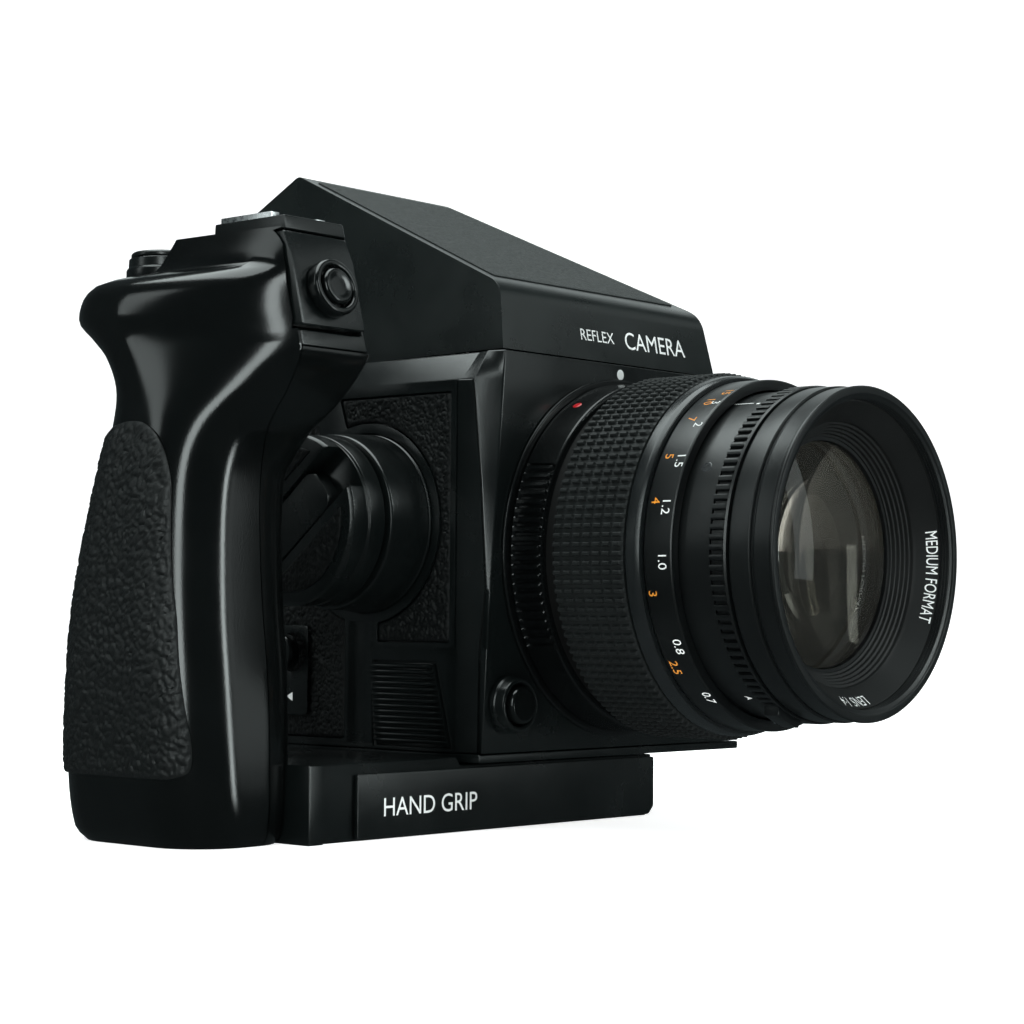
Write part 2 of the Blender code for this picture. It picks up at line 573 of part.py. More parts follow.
# Grip: height, inner X, outer X, front Y, rear Y, corner radius, then the front
# outer corner's reach across and back, and how round it is between chord and arc.
GRIP_STATIONS = [
    (BASE_FLOOR, -99.0, -129.6, 11.0, 55.5, 13.0, 13.0, 13.0, 1.0),
    (-63.0, -97.5, -131.6, 9.2, 58.0, 14.0, 14.0, 14.0, 1.0),
    (-50.0, -97.0, -133.4, 8.8, 58.7, 14.0, 14.0, 14.0, 1.0),
    (-30.0, -96.5, -134.5, 9.8, 57.2, 14.0, 14.0, 14.0, 1.0),
    (-10.0, -96.0, -134.0, 12.2, 55.4, 14.0, 14.0, 14.0, 1.0),
    (10.0, -95.5, -133.0, 13.2, 51.2, 14.0, 14.0, 14.0, 1.0),
    (20.0, -95.0, -131.8, 12.4, 49.2, 13.5, 14.5, 14.0, 1.0),
    (27.0, -94.0, -130.4, 10.3, 47.6, 12.5, 16.0, 18.0, 0.95),
    (35.0, -91.5, -129.0, 4.2, 46.8, 10.0, 17.6, 28.0, 0.8),
    (42.5, -89.0, -128.2, 0.3, 50.8, 9.0, 17.0, 36.0, 0.6),
    (47.0, -88.5, -128.2, 1.0, 57.0, 11.0, 17.0, 38.0, 0.5),
    (51.0, -88.5, -128.9, 2.1, 62.6, 13.5, 16.6, 38.0, 0.5),
    (55.5, -88.5, -128.2, 3.1, 62.6, 13.2, 15.8, 37.5, 0.5),
    (58.5, -88.5, -126.3, 3.6, 61.6, 12.5, 13.9, 37.0, 0.5),
    (60.6, -88.6, -123.0, 4.0, 60.0, 12.0, 10.8, 36.0, 0.5),
    (61.9, -88.7, -117.8, 4.4, 57.0, 11.0, 5.6, 35.0, 0.5),
    (63.2, -88.8, -115.8, 4.7, 54.5, 9.5, 3.6, 35.0, 0.5),
    (67.0, -89.2, -114.3, 5.3, 50.0, 7.0, 2.4, 34.0, 0.5),
    (70.0, -89.5, -113.4, 6.1, 48.0, 6.0, 1.8, 32.0, 0.5),
]
PLATFORM_Z = 61.8
WALL_REAR = 43.0          # rear end of the wall above the platform
WALL_LEAN = 0.5           # how far it leans forward for each millimetre up
HEAD_FLOOR = 43.6
HEAD_TOP = 72.9
HEAD_REAR = 31.5


def grip_section(station, shrink=0.0, corner_steps=5):
    """The grip's outline at one height: rounded behind, cut back from the head's outer edge."""
    z, inner, outer, front, rear, radius, across, back, roundness = station
    x1, x0, y0, y1 = inner - shrink, outer + shrink, front + shrink, rear - shrink
    fore = max((radius if z < 30 else 1.6) - shrink, 0.8)
    round_r = max(radius - shrink, 0.8)
    points = arc((x1 - fore, y0 + fore), fore, -90, 0, corner_steps)
    points += arc((x1 - round_r, y1 - round_r), round_r, 0, 90, corner_steps)
    points += arc((x0 + round_r, y1 - round_r), round_r, 90, 180, corner_steps)
    across, back = max(across - shrink, 0.8), max(back - shrink, 0.8)
    for i in range(corner_steps):
        share = i / (corner_steps - 1)
        swing = share * pi / 2
        bow = Vector((x0 + across * (1 - cos(swing)), y0 + back * (1 - sin(swing))))
        chord = Vector((x0 + across * share, y0 + back * (1 - share)))
        points.append(tuple(chord.lerp(bow, roundness)))
    return [(x, y, z) for x, y in points]


def grip_mesh(name, shrink=0.0, low=BASE_FLOOR, high=80.0):
    """The grip's form between two heights, or its cavity when shrunk."""
    stations = [s for s in GRIP_STATIONS if low <= s[0] <= high]
    return loft_mesh(name, [grip_section(s, shrink) for s in stations])


HEAD_CENTRE = (-102.0, 1.1, 56.3)
HUB_CENTRE = (-106.0, 51.3, 0)
HEAD_AIM = Matrix.Rotation(pi / 2 - radians(14.6), 4, "X")


def head_face(z):
    """How far behind the body's front the grip head's face lies at a height."""
    return 1.0 + (z - 47.0) * tan(HEAD_LEAN)


def add_grip_shells():
    """The grip's two moulded halves, joined along a plane across X."""
    halves = (("grip_shell_outer", -200, SEAM_X - 0.15), ("grip_shell_inner", SEAM_X + 0.15, 0))
    for name, near, far in halves:
        shell = add(name, grip_mesh(name), "gloss")
        half = cutter(name + "_half", box_mesh("half", (near, -60, -100), (far, 120, 120)))
        apply_cut(shell, half, "INTERSECT")
        apply_cut(shell, cutter(name + "_hollow", grip_mesh("hollow", 2.6, -63.0, 56.5)))
        if name.endswith("inner"):
            box_cut(shell, "inner_step", (-160, HEAD_REAR, PLATFORM_Z), (-60, 120, 90))
            box_cut(shell, "arm_seat", (ARM_END - GAP - 0.2, 2.7, -80), (-60, 60.4, ARM_TOP + GAP))
            disc_cut(shell, "hub_bore", 3.4, 40, 80, HUB_CENTRE, "+Z", 20)
            box_cut(shell, "head_seat", (-120, -20, HEAD_FLOOR - GAP), (-60, HEAD_REAR + GAP, 90))
        else:
            behind = [(WALL_REAR, PLATFORM_Z), (120, PLATFORM_Z), (120, 90), (WALL_REAR - 20, 90),
                      (WALL_REAR - 20 * WALL_LEAN, PLATFORM_Z + 20)]
            apply_cut(shell, cutter("wall_back", plate_mesh("wall_back", behind, -160, -60, "X")))
            recess = tilted(box_mesh("outer_recess", (-112.0, -6, 47.0), (-100, 4.4, 70.2)))
            apply_cut(shell, cutter("outer_recess", recess))


def tilted(mesh):
    """Lean a mesh back about the head's lower edge."""
    pivot = place(-98, 1.5, 46)
    lean = Matrix.Rotation(-HEAD_LEAN, 4, "X")
    mesh.transform(Matrix.Translation(pivot) @ lean @ Matrix.Translation(-pivot))
    return mesh


def add_grip_head():
    """Front head of the grip: release insert, collar, button and accessory shoe."""
    sections = []
    for z, inner in ((HEAD_FLOOR, -88.6), (HEAD_TOP, -90.6)):
        rear = HEAD_REAR if z == HEAD_FLOOR else HEAD_REAR - 2.0
        face = head_face(z)
        sections.append([(SEAM_X + 0.15, face, z), (inner - 1.6, face, z), (inner, face + 1.6, z),
                         (inner, rear, z), (SEAM_X + 0.15, rear, z)])
    head = add("grip_head", loft_mesh("grip_head", sections), "satin")
    box_cut(head, "shoe_channel", (-109.2, 9.0, 70.0), (-91.6, 60, 90))
    recess = tilted(box_mesh("recess", (-120, -6, 47.0), (-91.4, 4.4, 70.2)))
    apply_cut(head, cutter("head_recess", recess))
    disc_cut(head, "grip_button_bore", 3.6, -16, 8, HEAD_CENTRE, HEAD_AIM, 24)
    side = [(3.8, 47.9), (-1.0, 48.0), (3.0, 63.8), (5.6, 69.2), (8.4, 69.2)]
    left = [(-111.4 + 0.4 * (z < 60), y, z) for y, z in side]
    right = [(-92.4, y, z) for y, z in side]
    insert = add("release_insert", loft_mesh("release_insert", [left, right]), "satin")
    disc_cut(insert, "insert_bore", 3.6, -10, 12, HEAD_CENTRE, HEAD_AIM, 24)
    turned("grip_collar", [(6.2, 3.4), (6.5, 3.0), (6.5, 0.4), (4.8, 0.4), (4.8, 3.4)],
           HEAD_CENTRE, HEAD_AIM, "gloss", steps=32)
    turned("grip_button",
           [(0, 3.7), (3.6, 4.0), (4.2, 3.6), (4.2, 2.4), (3.0, 2.4), (3.0, -11.0), (0, -11.0)],
           HEAD_CENTRE, HEAD_AIM, "gloss", steps=32)
    rail = [(-9.0, 0), (9.0, 0), (9.0, 4.1), (6.2, 4.1), (6.2, 2.8), (7.8, 2.8), (7.8, 0.9), (-7.8, 0.9),
            (-7.8, 2.8), (-6.2, 2.8), (-6.2, 4.1), (-9.0, 4.1)]
    outline = [(-100.4 + x * 0.93, 70.3 + z) for x, z in rail]
    plate("accessory_shoe", outline, 12.5, 29.0, "Y", "steel")


def add_wind_lever():
    """Thumb lever and its hub on the grip's rear platform."""
    centre = HUB_CENTRE
    turned("lever_hub", [(8.2, 67.2), (9.0, 62.1), (2.6, 62.1), (2.6, 67.2)], centre, "+Z", "satin", steps=32)
    lever = turned("wind_lever", [(0, 68.8), (7.5, 68.8), (8.0, 68.4), (8.0, 67.5), (2.2, 67.5),
                                  (2.2, 50.0), (0, 50.0)], centre, "+Z", "satin", steps=32)
    x, y = centre[0], centre[1]
    reach = Vector((cos(LEVER_REST), sin(LEVER_REST)))
    across = Vector((-reach.y, reach.x))
    outline = []
    arm = ((5, -4.5), (24, -3.2), (32, -5.0), (35, -3.0), (35, 3.0), (32, 4.6), (24, 3.2), (5, 4.5))
    for along, side in arm:
        point = Vector((x, y)) + reach * along + across * side
        outline.append((point.x, point.y))
    apply_cut(lever, cutter("lever_arm", plate_mesh("lever_arm", outline, 67.5, 68.8, "Z")), "UNION")


LEVER_REST = radians(28)


def pad_point(z, turn, lift):
    """A point on the grip's skin at a height, a share of the way round its outer rear side."""
    for below, above in zip(GRIP_STATIONS, GRIP_STATIONS[1:]):
        if below[0] <= z <= above[0]:
            share = (z - below[0]) / (above[0] - below[0])
            station = [a + (b - a) * share for a, b in zip(below, above)]
    points = grip_section(station, -lift, 9)
    index = turn * (len(points) - 1)
    low = int(index)
    first, second = Vector(points[low]), Vector(points[min(low + 1, len(points) - 1)])
    return tuple(first.lerp(second, index - low))


def add_grip_pad():
    """Leather pad wrapped around the grip's outer rear side."""
    levels = [(-50.0, 0.53, 0.92), (-46.0, 0.51, 0.935), (-30, 0.50, 0.93), (-10, 0.50, 0.925),
              (10, 0.50, 0.90), (20, 0.52, 0.86), (25.5, 0.57, 0.81)]
    inner = []
    outer = []
    for z, start, end in levels:
        shares = [start + (end - start) * i / 16 for i in range(17)]
        inner.append([pad_point(z, t, GAP) for t in shares])
        outer.append([pad_point(z, t, 1.3) for t in shares])
    sections = [low + high[::-1] for low, high in zip(inner, outer)]
    add("grip_pad", loft_mesh("grip_pad", sections), "leather")


ARM_END = -104.0
ARM_TOP = -48.2
ARM_REAR = 60.0
WHEEL_LOW, WHEEL_HIGH = -60.0, -55.0


def add_base():
    """Arm joining the grip to the body's tripod socket, with its trim bar and clamp."""
    outline = [(ARM_END, BASE_FLOOR), (17.0, BASE_FLOOR), (19.0, -63.7), (19.0, BASE_TOP), (-53.6, BASE_TOP),
               (-55.0, ARM_TOP), (ARM_END, ARM_TOP)]
    arm = plate("base_arm", outline, 3.0, ARM_REAR, "Y", "satin")
    box_cut(arm, "bar_seat", (-99.4, 0, -80), (30, 4.4, -40))
    box_cut(arm, "wheel_slot", (-23.6, 14.9, WHEEL_LOW), (23.6, 80, WHEEL_HIGH))
    disc_cut(arm, "screw_bore", 5.2, -58, -40, (0, CRANK_Y, 0), "+Z", 24)
    bar = [(-89.0, -65.3), (16.6, -65.3), (18.7, -63.2), (18.7, -50.6), (-89.0, -50.6)]
    plate("base_bar", bar, 3.1, 4.4 - GAP, "Y", "satin")
    turned("clamp_wheel", [(0, -44.0), (4.3, -44.0), (4.5, -44.6), (4.5, WHEEL_HIGH - GAP),
                           (22.6, WHEEL_HIGH - GAP), (23.0, WHEEL_HIGH - GAP - 0.4),
                           (23.0, WHEEL_LOW + GAP + 0.4), (22.6, WHEEL_LOW + GAP), (0, WHEEL_LOW + GAP)],
           (0, CRANK_Y, 0), "+Z", "anodised")


def set_origin(name, x, y, z):
    """Put a turning piece's origin on its axis."""
    piece = bpy.data.objects[name]
    point = place(x, y, z)
    inverse = piece.matrix_world.to_3x3().inverted()
    shift = inverse @ (point - piece.matrix_world.translation)
    piece.data.transform(Matrix.Translation(-shift))
    piece.matrix_world.translation = point


add_front_casting()
add_main_body()
add_body_trim()
add_side_leathers()
add_crank()
add_body_controls()
add_mirror_group()
add_finder()
add_film_back()
add_lens()
add_grip_shells()
add_grip_head()
add_wind_lever()
add_grip_pad()
add_base()
set_origin("crank_handle", -75.2, CRANK_Y + HANDLE_HINGE_R * cos(SLOT_ANGLE),
           CRANK_Z - HANDLE_HINGE_R * sin(SLOT_ANGLE))
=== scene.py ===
"""Looks for the medium format reflex camera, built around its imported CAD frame."""

from contextlib import contextmanager
from math import atan2, cos, degrees, hypot, pi, radians, sin, tan

import bmesh
import bpy
import numpy as np
from mathutils import Matrix, Vector, geometry, kdtree, noise


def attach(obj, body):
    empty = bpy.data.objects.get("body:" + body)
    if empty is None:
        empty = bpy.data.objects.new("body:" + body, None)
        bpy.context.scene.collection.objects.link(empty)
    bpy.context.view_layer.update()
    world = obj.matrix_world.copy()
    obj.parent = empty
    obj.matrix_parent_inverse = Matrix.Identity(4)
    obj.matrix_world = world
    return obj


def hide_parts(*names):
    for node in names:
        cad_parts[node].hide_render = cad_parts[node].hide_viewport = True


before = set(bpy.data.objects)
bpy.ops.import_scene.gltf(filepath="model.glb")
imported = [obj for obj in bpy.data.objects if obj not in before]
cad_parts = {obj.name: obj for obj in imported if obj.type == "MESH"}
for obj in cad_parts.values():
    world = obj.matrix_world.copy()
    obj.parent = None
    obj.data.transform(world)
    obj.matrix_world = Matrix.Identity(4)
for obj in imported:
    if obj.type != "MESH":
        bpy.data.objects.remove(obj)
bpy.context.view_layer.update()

MM = 0.001
FRONT_TO_ORIGIN = 38.5
AXIS_HEIGHT = 65.7
CRANK_Y, CRANK_Z = 38.5, 7.5
SLOT_ANGLE = radians(39)
SEAM_X = -110.3


def at(x, y, z):
    """Metres in the frame from millimetres off the lens axis and the body's front face."""
    return Vector((x * MM, (y - FRONT_TO_ORIGIN) * MM, (z + AXIS_HEIGHT) * MM))


# ---------------------------------------------------------------- materials

def nodes_of(name):
    """A new material, its node tree and its shader."""
    material = bpy.data.materials.new(name)
    material.use_nodes = True
    tree = material.node_tree
    return material, tree, tree.nodes["Principled BSDF"]


def link(tree, a, out, b, into):
    tree.links.new(a.outputs[out], b.inputs[into])


def texture(tree, kind, **settings):
    node = tree.nodes.new(kind)
    for key, value in settings.items():
        node.inputs[key].default_value = value
    return node


def ramp(tree, source, out, stops):
    node = tree.nodes.new("ShaderNodeValToRGB")
    elements = node.color_ramp.elements
    while len(elements) < len(stops):
        elements.new(0.5)
    for element, (place, color) in zip(elements, stops):
        element.position = place
        element.color = (*color, 1.0)
    link(tree, source, out, node, "Fac")
    return node


def grey(value):
    return (value, value, value)


def shade(color, factor):
    return tuple(c * factor for c in color)


def add_bump(tree, shader, source, out, strength, distance):
    bump = tree.nodes.new("ShaderNodeBump")
    bump.inputs["Strength"].default_value = strength
    bump.inputs["Distance"].default_value = distance
    link(tree, source, out, bump, "Height")
    link(tree, bump, "Normal", shader, "Normal")


def painted(name, color, rough, grain=2600.0, bump=0.05, smear=0.06, specular=0.5):
    """Paint or moulded plastic: faint colour variation, smeared gloss and a fine tooth."""
    material, tree, shader = nodes_of(name)
    coords = tree.nodes.new("ShaderNodeTexCoord")
    cloud = texture(tree, "ShaderNodeTexNoise", Scale=55.0, Detail=5.0, Roughness=0.6)
    link(tree, coords, "Object", cloud, "Vector")
    tint = ramp(tree, cloud, "Fac", [(0.3, shade(color, 0.82)), (0.7, shade(color, 1.18))])
    link(tree, tint, "Color", shader, "Base Color")
    shine = ramp(tree, cloud, "Fac", [(0.3, grey(max(rough - smear, 0.03))), (0.75, grey(rough + smear))])
    link(tree, shine, "Color", shader, "Roughness")
    fine = texture(tree, "ShaderNodeTexNoise", Scale=grain, Detail=2.0, Roughness=0.5)
    link(tree, coords, "Object", fine, "Vector")
    add_bump(tree, shader, fine, "Fac", bump, 0.0002)
    shader.inputs["Specular IOR Level"].default_value = specular
    return material


def leathered(name, color, rough, scale, bump, depth=0.0003, specular=0.5):
    """Leatherette: pebbles with painted shade in their valleys and lighter crowns, over the grain cut in the
    mesh.
    """
    material, tree, shader = nodes_of(name)
    coords = tree.nodes.new("ShaderNodeTexCoord")
    warp = texture(tree, "ShaderNodeTexNoise", Scale=scale * 0.7, Detail=3.0)
    link(tree, coords, "Object", warp, "Vector")
    mix = tree.nodes.new("ShaderNodeMix")
    mix.data_type = "VECTOR"
    mix.inputs[0].default_value = 0.012
    link(tree, coords, "Object", mix, 4)
    link(tree, warp, "Color", mix, 5)
    cells = texture(tree, "ShaderNodeTexVoronoi", Scale=scale)
    tree.links.new(mix.outputs[1], cells.inputs["Vector"])
    # painted shade: the colour is lightest on each pebble's crown and darkens into the valleys between
    # pebbles
    tint = ramp(tree, cells, "Distance", [(0.0, shade(color, 1.25)), (0.7, shade(color, 0.6))])
    link(tree, tint, "Color", shader, "Base Color")
    shine = ramp(tree, cells, "Distance", [(0.0, grey(rough - 0.08)), (0.8, grey(min(rough + 0.2, 1.0)))])
    link(tree, shine, "Color", shader, "Roughness")
    invert = tree.nodes.new("ShaderNodeMath")
    invert.operation = "SUBTRACT"
    invert.inputs[0].default_value = 1.0
    link(tree, cells, "Distance", invert, 1)
    add_bump(tree, shader, invert, "Value", bump, depth)
    shader.inputs["Specular IOR Level"].default_value = specular
    return material


def glass(name, color, specular=0.5, clear=1.0):
    material, _, shader = nodes_of(name)
    shader.inputs["Specular IOR Level"].default_value = specular
    shader.inputs["Base Color"].default_value = (*color, 1.0)
    shader.inputs["Roughness"].default_value = 0.0
    shader.inputs["Transmission Weight"].default_value = clear
    shader.inputs["IOR"].default_value = 1.5
    return material


def plain_metal(name, color, rough):
    material, tree, shader = nodes_of(name)
    coords = tree.nodes.new("ShaderNodeTexCoord")
    brushed = texture(tree, "ShaderNodeTexNoise", Scale=900.0, Detail=3.0)
    link(tree, coords, "Object", brushed, "Vector")
    tint = ramp(tree, brushed, "Fac", [(0.3, shade(color, 0.85)), (0.7, color)])
    link(tree, tint, "Color", shader, "Base Color")
    shine = ramp(tree, brushed, "Fac", [(0.3, grey(rough * 0.8)), (0.7, grey(rough * 1.3))])
    link(tree, shine, "Color", shader, "Roughness")
    shader.inputs["Metallic"].default_value = 1.0
    add_bump(tree, shader, brushed, "Fac", 0.05, 0.0001)
    return material


MATERIALS = {
    "satin": painted("satin_paint", (0.0034, 0.0046, 0.0046), 0.25, 3200, 0.05),
    "finder": painted("finder_paint", (0.0052, 0.0072, 0.0070), 0.30, 3000, 0.06),
    "gloss": painted("gloss_moulding", (0.0018, 0.0023, 0.0023), 0.14, 2600, 0.06, smear=0.03),
    "button": painted("gloss_button", (0.0022, 0.0028, 0.0028), 0.16, 1500, 0.02, smear=0.03),
    "anodised": painted("black_anodised", (0.0035, 0.0045, 0.0046), 0.30, 4200, 0.10, smear=0.04),
    "ring": painted("ring_paint", (0.0022, 0.0027, 0.0028), 0.22, 3200, 0.05, smear=0.05),
    "lens": painted("lens_paint", (0.0036, 0.0044, 0.0046), 0.33, 4200, 0.10, smear=0.04),
    "matt": painted("matt_black", (0.003, 0.003, 0.003), 0.75, 2500, 0.15, specular=0.25),
    "rubber": painted("focus_rubber", (0.0085, 0.0105, 0.0105), 0.60, 2200, 0.12, specular=0.4),
    "leather": leathered("leatherette", (0.0038, 0.0050, 0.0050), 0.42, 1500, 0.35, 0.00012, 0.32),
    # the roof's leatherette is about three times lighter than the rest: a painted sheen for the backdrop's
    # glancing reflection on the finder's top
    "roof": leathered("roof_leatherette_painted_sheen", (0.013, 0.0165, 0.016), 0.58, 1500, 0.35, 0.00012),
    "pad": leathered("grip_leatherette", (0.0045, 0.0058, 0.0058), 0.34, 900, 0.25, 0.00015),
    "steel": plain_metal("bare_metal", (0.62, 0.63, 0.64), 0.28),
    "silver": plain_metal("mirror_silver", (0.9, 0.91, 0.92), 0.04),
    "white": painted("white_mark", (0.80, 0.81, 0.80), 0.5, 2500, 0.03),
    "orange": painted("orange_mark", (0.80, 0.28, 0.02), 0.5, 2500, 0.03),
    "band": painted("satin_band", (0.008, 0.0095, 0.010), 0.25, 4200, 0.12, smear=0.04),
    "steel_dark": painted("dark_chrome", (0.03, 0.032, 0.034), 0.2, 3000, 0.05),
    "matt_ring": painted("matt_ring", (0.0055, 0.006, 0.006), 0.5, 3500, 0.1, specular=0.4),
    "red": painted("red_dot", (0.50, 0.01, 0.015), 0.25, 2500, 0.03),
    "clear": glass("clear_glass", (0.96, 0.95, 0.93)),
    "coated": glass("coated_glass", (0.26, 0.245, 0.21), 0.05, 0.955),
}

# ---------------------------------------------------------------- mesh tools


WELD = 0.000002  # metres: closer points are one
TINY_EDGE = 0.0000005


@contextmanager
def editing(mesh):
    """The mesh as a bmesh, written back at the end."""
    bm = bmesh.new()
    bm.from_mesh(mesh)
    yield bm
    bm.to_mesh(mesh)
    bm.free()


def mesh_of(name, verts, faces):
    mesh = bpy.data.meshes.new(name)
    mesh.from_pydata([tuple(v) for v in verts], [], faces)
    return mesh


def placed(name, data):
    """A new object in the scene."""
    obj = bpy.data.objects.new(name, data)
    bpy.context.scene.collection.objects.link(obj)
    return obj


def smooth(mesh, sharp):
    """Shade a mesh smooth, apart from edges that turn by more than an angle."""
    mesh.shade_smooth()
    mesh.set_sharp_from_angle(angle=radians(sharp))


def riding(name, mesh, look, body, replaces=()):
    """An object with a look's material, riding on a CAD body."""
    mesh.materials.clear()
    mesh.materials.append(MATERIALS[look])
    obj = placed(name, mesh)
    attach(obj, body)
    if replaces:
        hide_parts(*replaces)
    return obj


def finish_piece(name, mesh, look, body, replaces=(), sharp=32):
    """Clean a mesh, shade it and let it ride on a CAD body."""
    with editing(mesh) as bm:
        bmesh.ops.remove_doubles(bm, verts=bm.verts, dist=WELD)
        bmesh.ops.dissolve_degenerate(bm, edges=bm.edges, dist=TINY_EDGE)
        bmesh.ops.recalc_face_normals(bm, faces=bm.faces)
    smooth(mesh, sharp)
    return riding(name, mesh, look, body, replaces)


def piece(name, verts, faces, look, body, replaces=(), sharp=32):
    """A finished mesh from points and faces."""
    return finish_piece(name, mesh_of(name, verts, faces), look, body, replaces, sharp)


LEAST_REACH = 0.01  # mm: a corner with less room stays as it is


def soften(profile, radius, closed=True, steps=3):
    """Round the corners of a profile by about a radius."""
    count = len(profile)
    result = []
    for i, point in enumerate(profile):
        if not closed and i in (0, count - 1):
            result.append(point)
            continue
        here = Vector(point)
        before, after = Vector(profile[i - 1]), Vector(profile[(i + 1) % count])
        back, ahead = before - here, after - here
        reach = min(radius, back.length * 0.45, ahead.length * 0.45)
        if reach < LEAST_REACH:
            result.append(point)
            continue
        start, end = here + back.normalized() * reach, here + ahead.normalized() * reach
        for k in range(steps + 1):
            t = k / steps
            result.append(tuple(start * (1 - t) ** 2 + here * 2 * t * (1 - t) + end * t ** 2))
    return result


def frame_from(centre, direction):
    """A matrix whose Z runs along a direction from a centre."""
    direction = Vector(direction).normalized()
    return Matrix.Translation(centre) @ direction.to_track_quat("Z", "Y").to_matrix().to_4x4()


LENS = frame_from(at(0, 0, 0), (0, -1, 0))


def turned(name, profile, place, look, body, replaces=(), segments=160, corner=0.15, sharp=32):
    """Turn a profile of (radius, height) in mm; it is solid where it starts on the axis."""
    solid = profile[0][0] == 0
    profile = soften(profile, corner, closed=not solid)
    verts, faces = [], []
    count = len(profile)
    for i in range(segments):
        turn = 2 * pi * i / segments
        for r, h in profile:
            verts.append(place @ Vector((r * cos(turn) * MM, r * sin(turn) * MM, h * MM)))
    spans = count - 1 if solid else count
    for i in range(segments):
        j = (i + 1) % segments
        for k in range(spans):
            m = (k + 1) % count
            faces.append((i * count + k, i * count + m, j * count + m, j * count + k))
    return piece(name, verts, faces, look, body, replaces, sharp)


def lens_point(radius, angle, ahead):
    """A point on the lens: angle in degrees from the top towards the grip's side."""
    turn = radians(angle)
    return at(-radius * sin(turn), -ahead, radius * cos(turn))


def ring_field(name, heights, angles, radii, inner, look, body, replaces, point=lens_point, sharp=32):
    """A ring whose outer radius is given at every angle (rows) and height (columns)."""
    verts, faces = [], []
    for angle, row in zip(angles, radii):
        verts.append(point(inner, angle, heights[0]))
        verts += [point(radius, angle, height) for radius, height in zip(row, heights)]
        verts.append(point(inner, angle, heights[-1]))
    count, row = len(angles), len(heights) + 2
    for i in range(count):
        k = (i + 1) % count
        for j in range(row):
            m = (j + 1) % row
            faces.append((i * row + j, i * row + m, k * row + m, k * row + j))
    return piece(name, verts, faces, look, body, replaces, sharp)


def to_plane(axis, a, b, depth):
    """A point from outline coordinates across an axis, at a depth along it."""
    if axis == "X":
        return at(depth, a, b)
    if axis == "Y":
        return at(a, depth, b)
    return at(a, b, depth)


def bevelled(bm, width, segments=2, angle=25):
    """Round the edges that turn by more than an angle."""
    edges = [e for e in bm.edges if len(e.link_faces) == 2 and e.calc_face_angle(0) > radians(angle)]
    bmesh.ops.bevel(bm, geom=edges, offset=width * MM, segments=segments, profile=0.6, affect="EDGES",
                    clamp_overlap=True)


def close_skin(name, bm, look, body, replaces, bevel, segments, sharp):
    """Turn a closed bmesh into a piece with rounded edges."""
    bmesh.ops.recalc_face_normals(bm, faces=bm.faces)
    if bevel:
        bevelled(bm, bevel, segments)
    mesh = bpy.data.meshes.new(name)
    bm.to_mesh(mesh)
    bm.free()
    return finish_piece(name, mesh, look, body, replaces, sharp)


def plate(name, outline, low, high, axis, look, body, replaces=(), bevel=0.3, segments=2, sharp=32):
    """A flat piece cut to an outline, with rounded edges."""
    bm = bmesh.new()
    lower = [bm.verts.new(to_plane(axis, a, b, low)) for a, b in outline]
    upper = [bm.verts.new(to_plane(axis, a, b, high)) for a, b in outline]
    bm.faces.new(lower)
    bm.faces.new(upper[::-1])
    for i in range(len(outline)):
        j = (i + 1) % len(outline)
        bm.faces.new((lower[i], lower[j], upper[j], upper[i]))
    return close_skin(name, bm, look, body, replaces, bevel, segments, sharp)


def loft(name, sections, look, body, replaces=(), bevel=0.3, segments=2, sharp=32):
    """A closed skin through rings of points in mm, capped at both ends."""
    bm = bmesh.new()
    rings = [[bm.verts.new(at(*p)) for p in section] for section in sections]
    for lower, upper in zip(rings, rings[1:]):
        for i in range(len(lower)):
            j = (i + 1) % len(lower)
            bm.faces.new((lower[i], lower[j], upper[j], upper[i]))
    bm.faces.new(rings[0])
    bm.faces.new(rings[-1])
    return close_skin(name, bm, look, body, replaces, bevel, segments, sharp)


def box_outline(low, high):
    return [(low[0], low[2]), (high[0], low[2]), (high[0], high[2]), (low[0], high[2])]


def box(name, low, high, look, body, replaces):
    """A block between two corners, with sharp edges."""
    return plate(name, box_outline(low, high), low[1], high[1], "Y", look, body, replaces, 0)


def inset(outline, distance):
    """The same outline drawn in by a distance along every side."""
    points = [Vector(p) for p in outline]
    area = sum(a.x * b.y - b.x * a.y for a, b in zip(points, points[1:] + points[:1]))
    inward = 1 if area > 0 else -1
    result = []
    for before, point, after in zip(points[-1:] + points[:-1], points, points[1:] + points[:1]):
        first, second = (point - before).normalized(), (after - point).normalized()
        normal = Vector((-first.y - second.y, first.x + second.x)) * inward
        reach = distance / max(normal.length / 2, 0.5)
        result.append(tuple(point + normal.normalized() * reach))
    return result


def arc(centre, radius, start, end, count):
    """Points on an arc between two angles in degrees."""
    turns = [radians(start + (end - start) * i / (count - 1)) for i in range(count)]
    return [(centre[0] + radius * cos(t), centre[1] + radius * sin(t)) for t in turns]


def cut(target, tools, operation="DIFFERENCE"):
    """Cut meshes out of a piece, or join them on, and keep the result."""
    for tool in tools:
        boolean = target.modifiers.new("cut", "BOOLEAN")
        boolean.object = tool
        boolean.operation = operation
        boolean.solver = "EXACT"
    bpy.context.view_layer.update()
    graph = bpy.context.evaluated_depsgraph_get()
    mesh = bpy.data.meshes.new_from_object(target.evaluated_get(graph))
    target.modifiers.clear()
    material = target.data.materials[0]
    target.data = mesh
    mesh.materials.clear()
    mesh.materials.append(material)
    for tool in tools:
        bpy.data.objects.remove(tool)


def tool_from(verts, faces):
    """A closed mesh to cut with."""
    mesh = mesh_of("tool", verts, faces)
    with editing(mesh) as bm:
        bmesh.ops.recalc_face_normals(bm, faces=bm.faces)
    return placed("tool", mesh)


def capped(count):
    """Faces of a prism whose two ends have a number of points each."""
    faces = [tuple(range(count)), tuple(range(2 * count - 1, count - 1, -1))]
    return faces + [(i, (i + 1) % count, count + (i + 1) % count, count + i) for i in range(count)]


def prism_tool(outline, low, high, axis):
    verts = [to_plane(axis, a, b, depth) for depth in (low, high) for a, b in outline]
    return tool_from(verts, capped(len(outline)))


def block_tool(low, high):
    return prism_tool(box_outline(low, high), low[1], high[1], "Y")


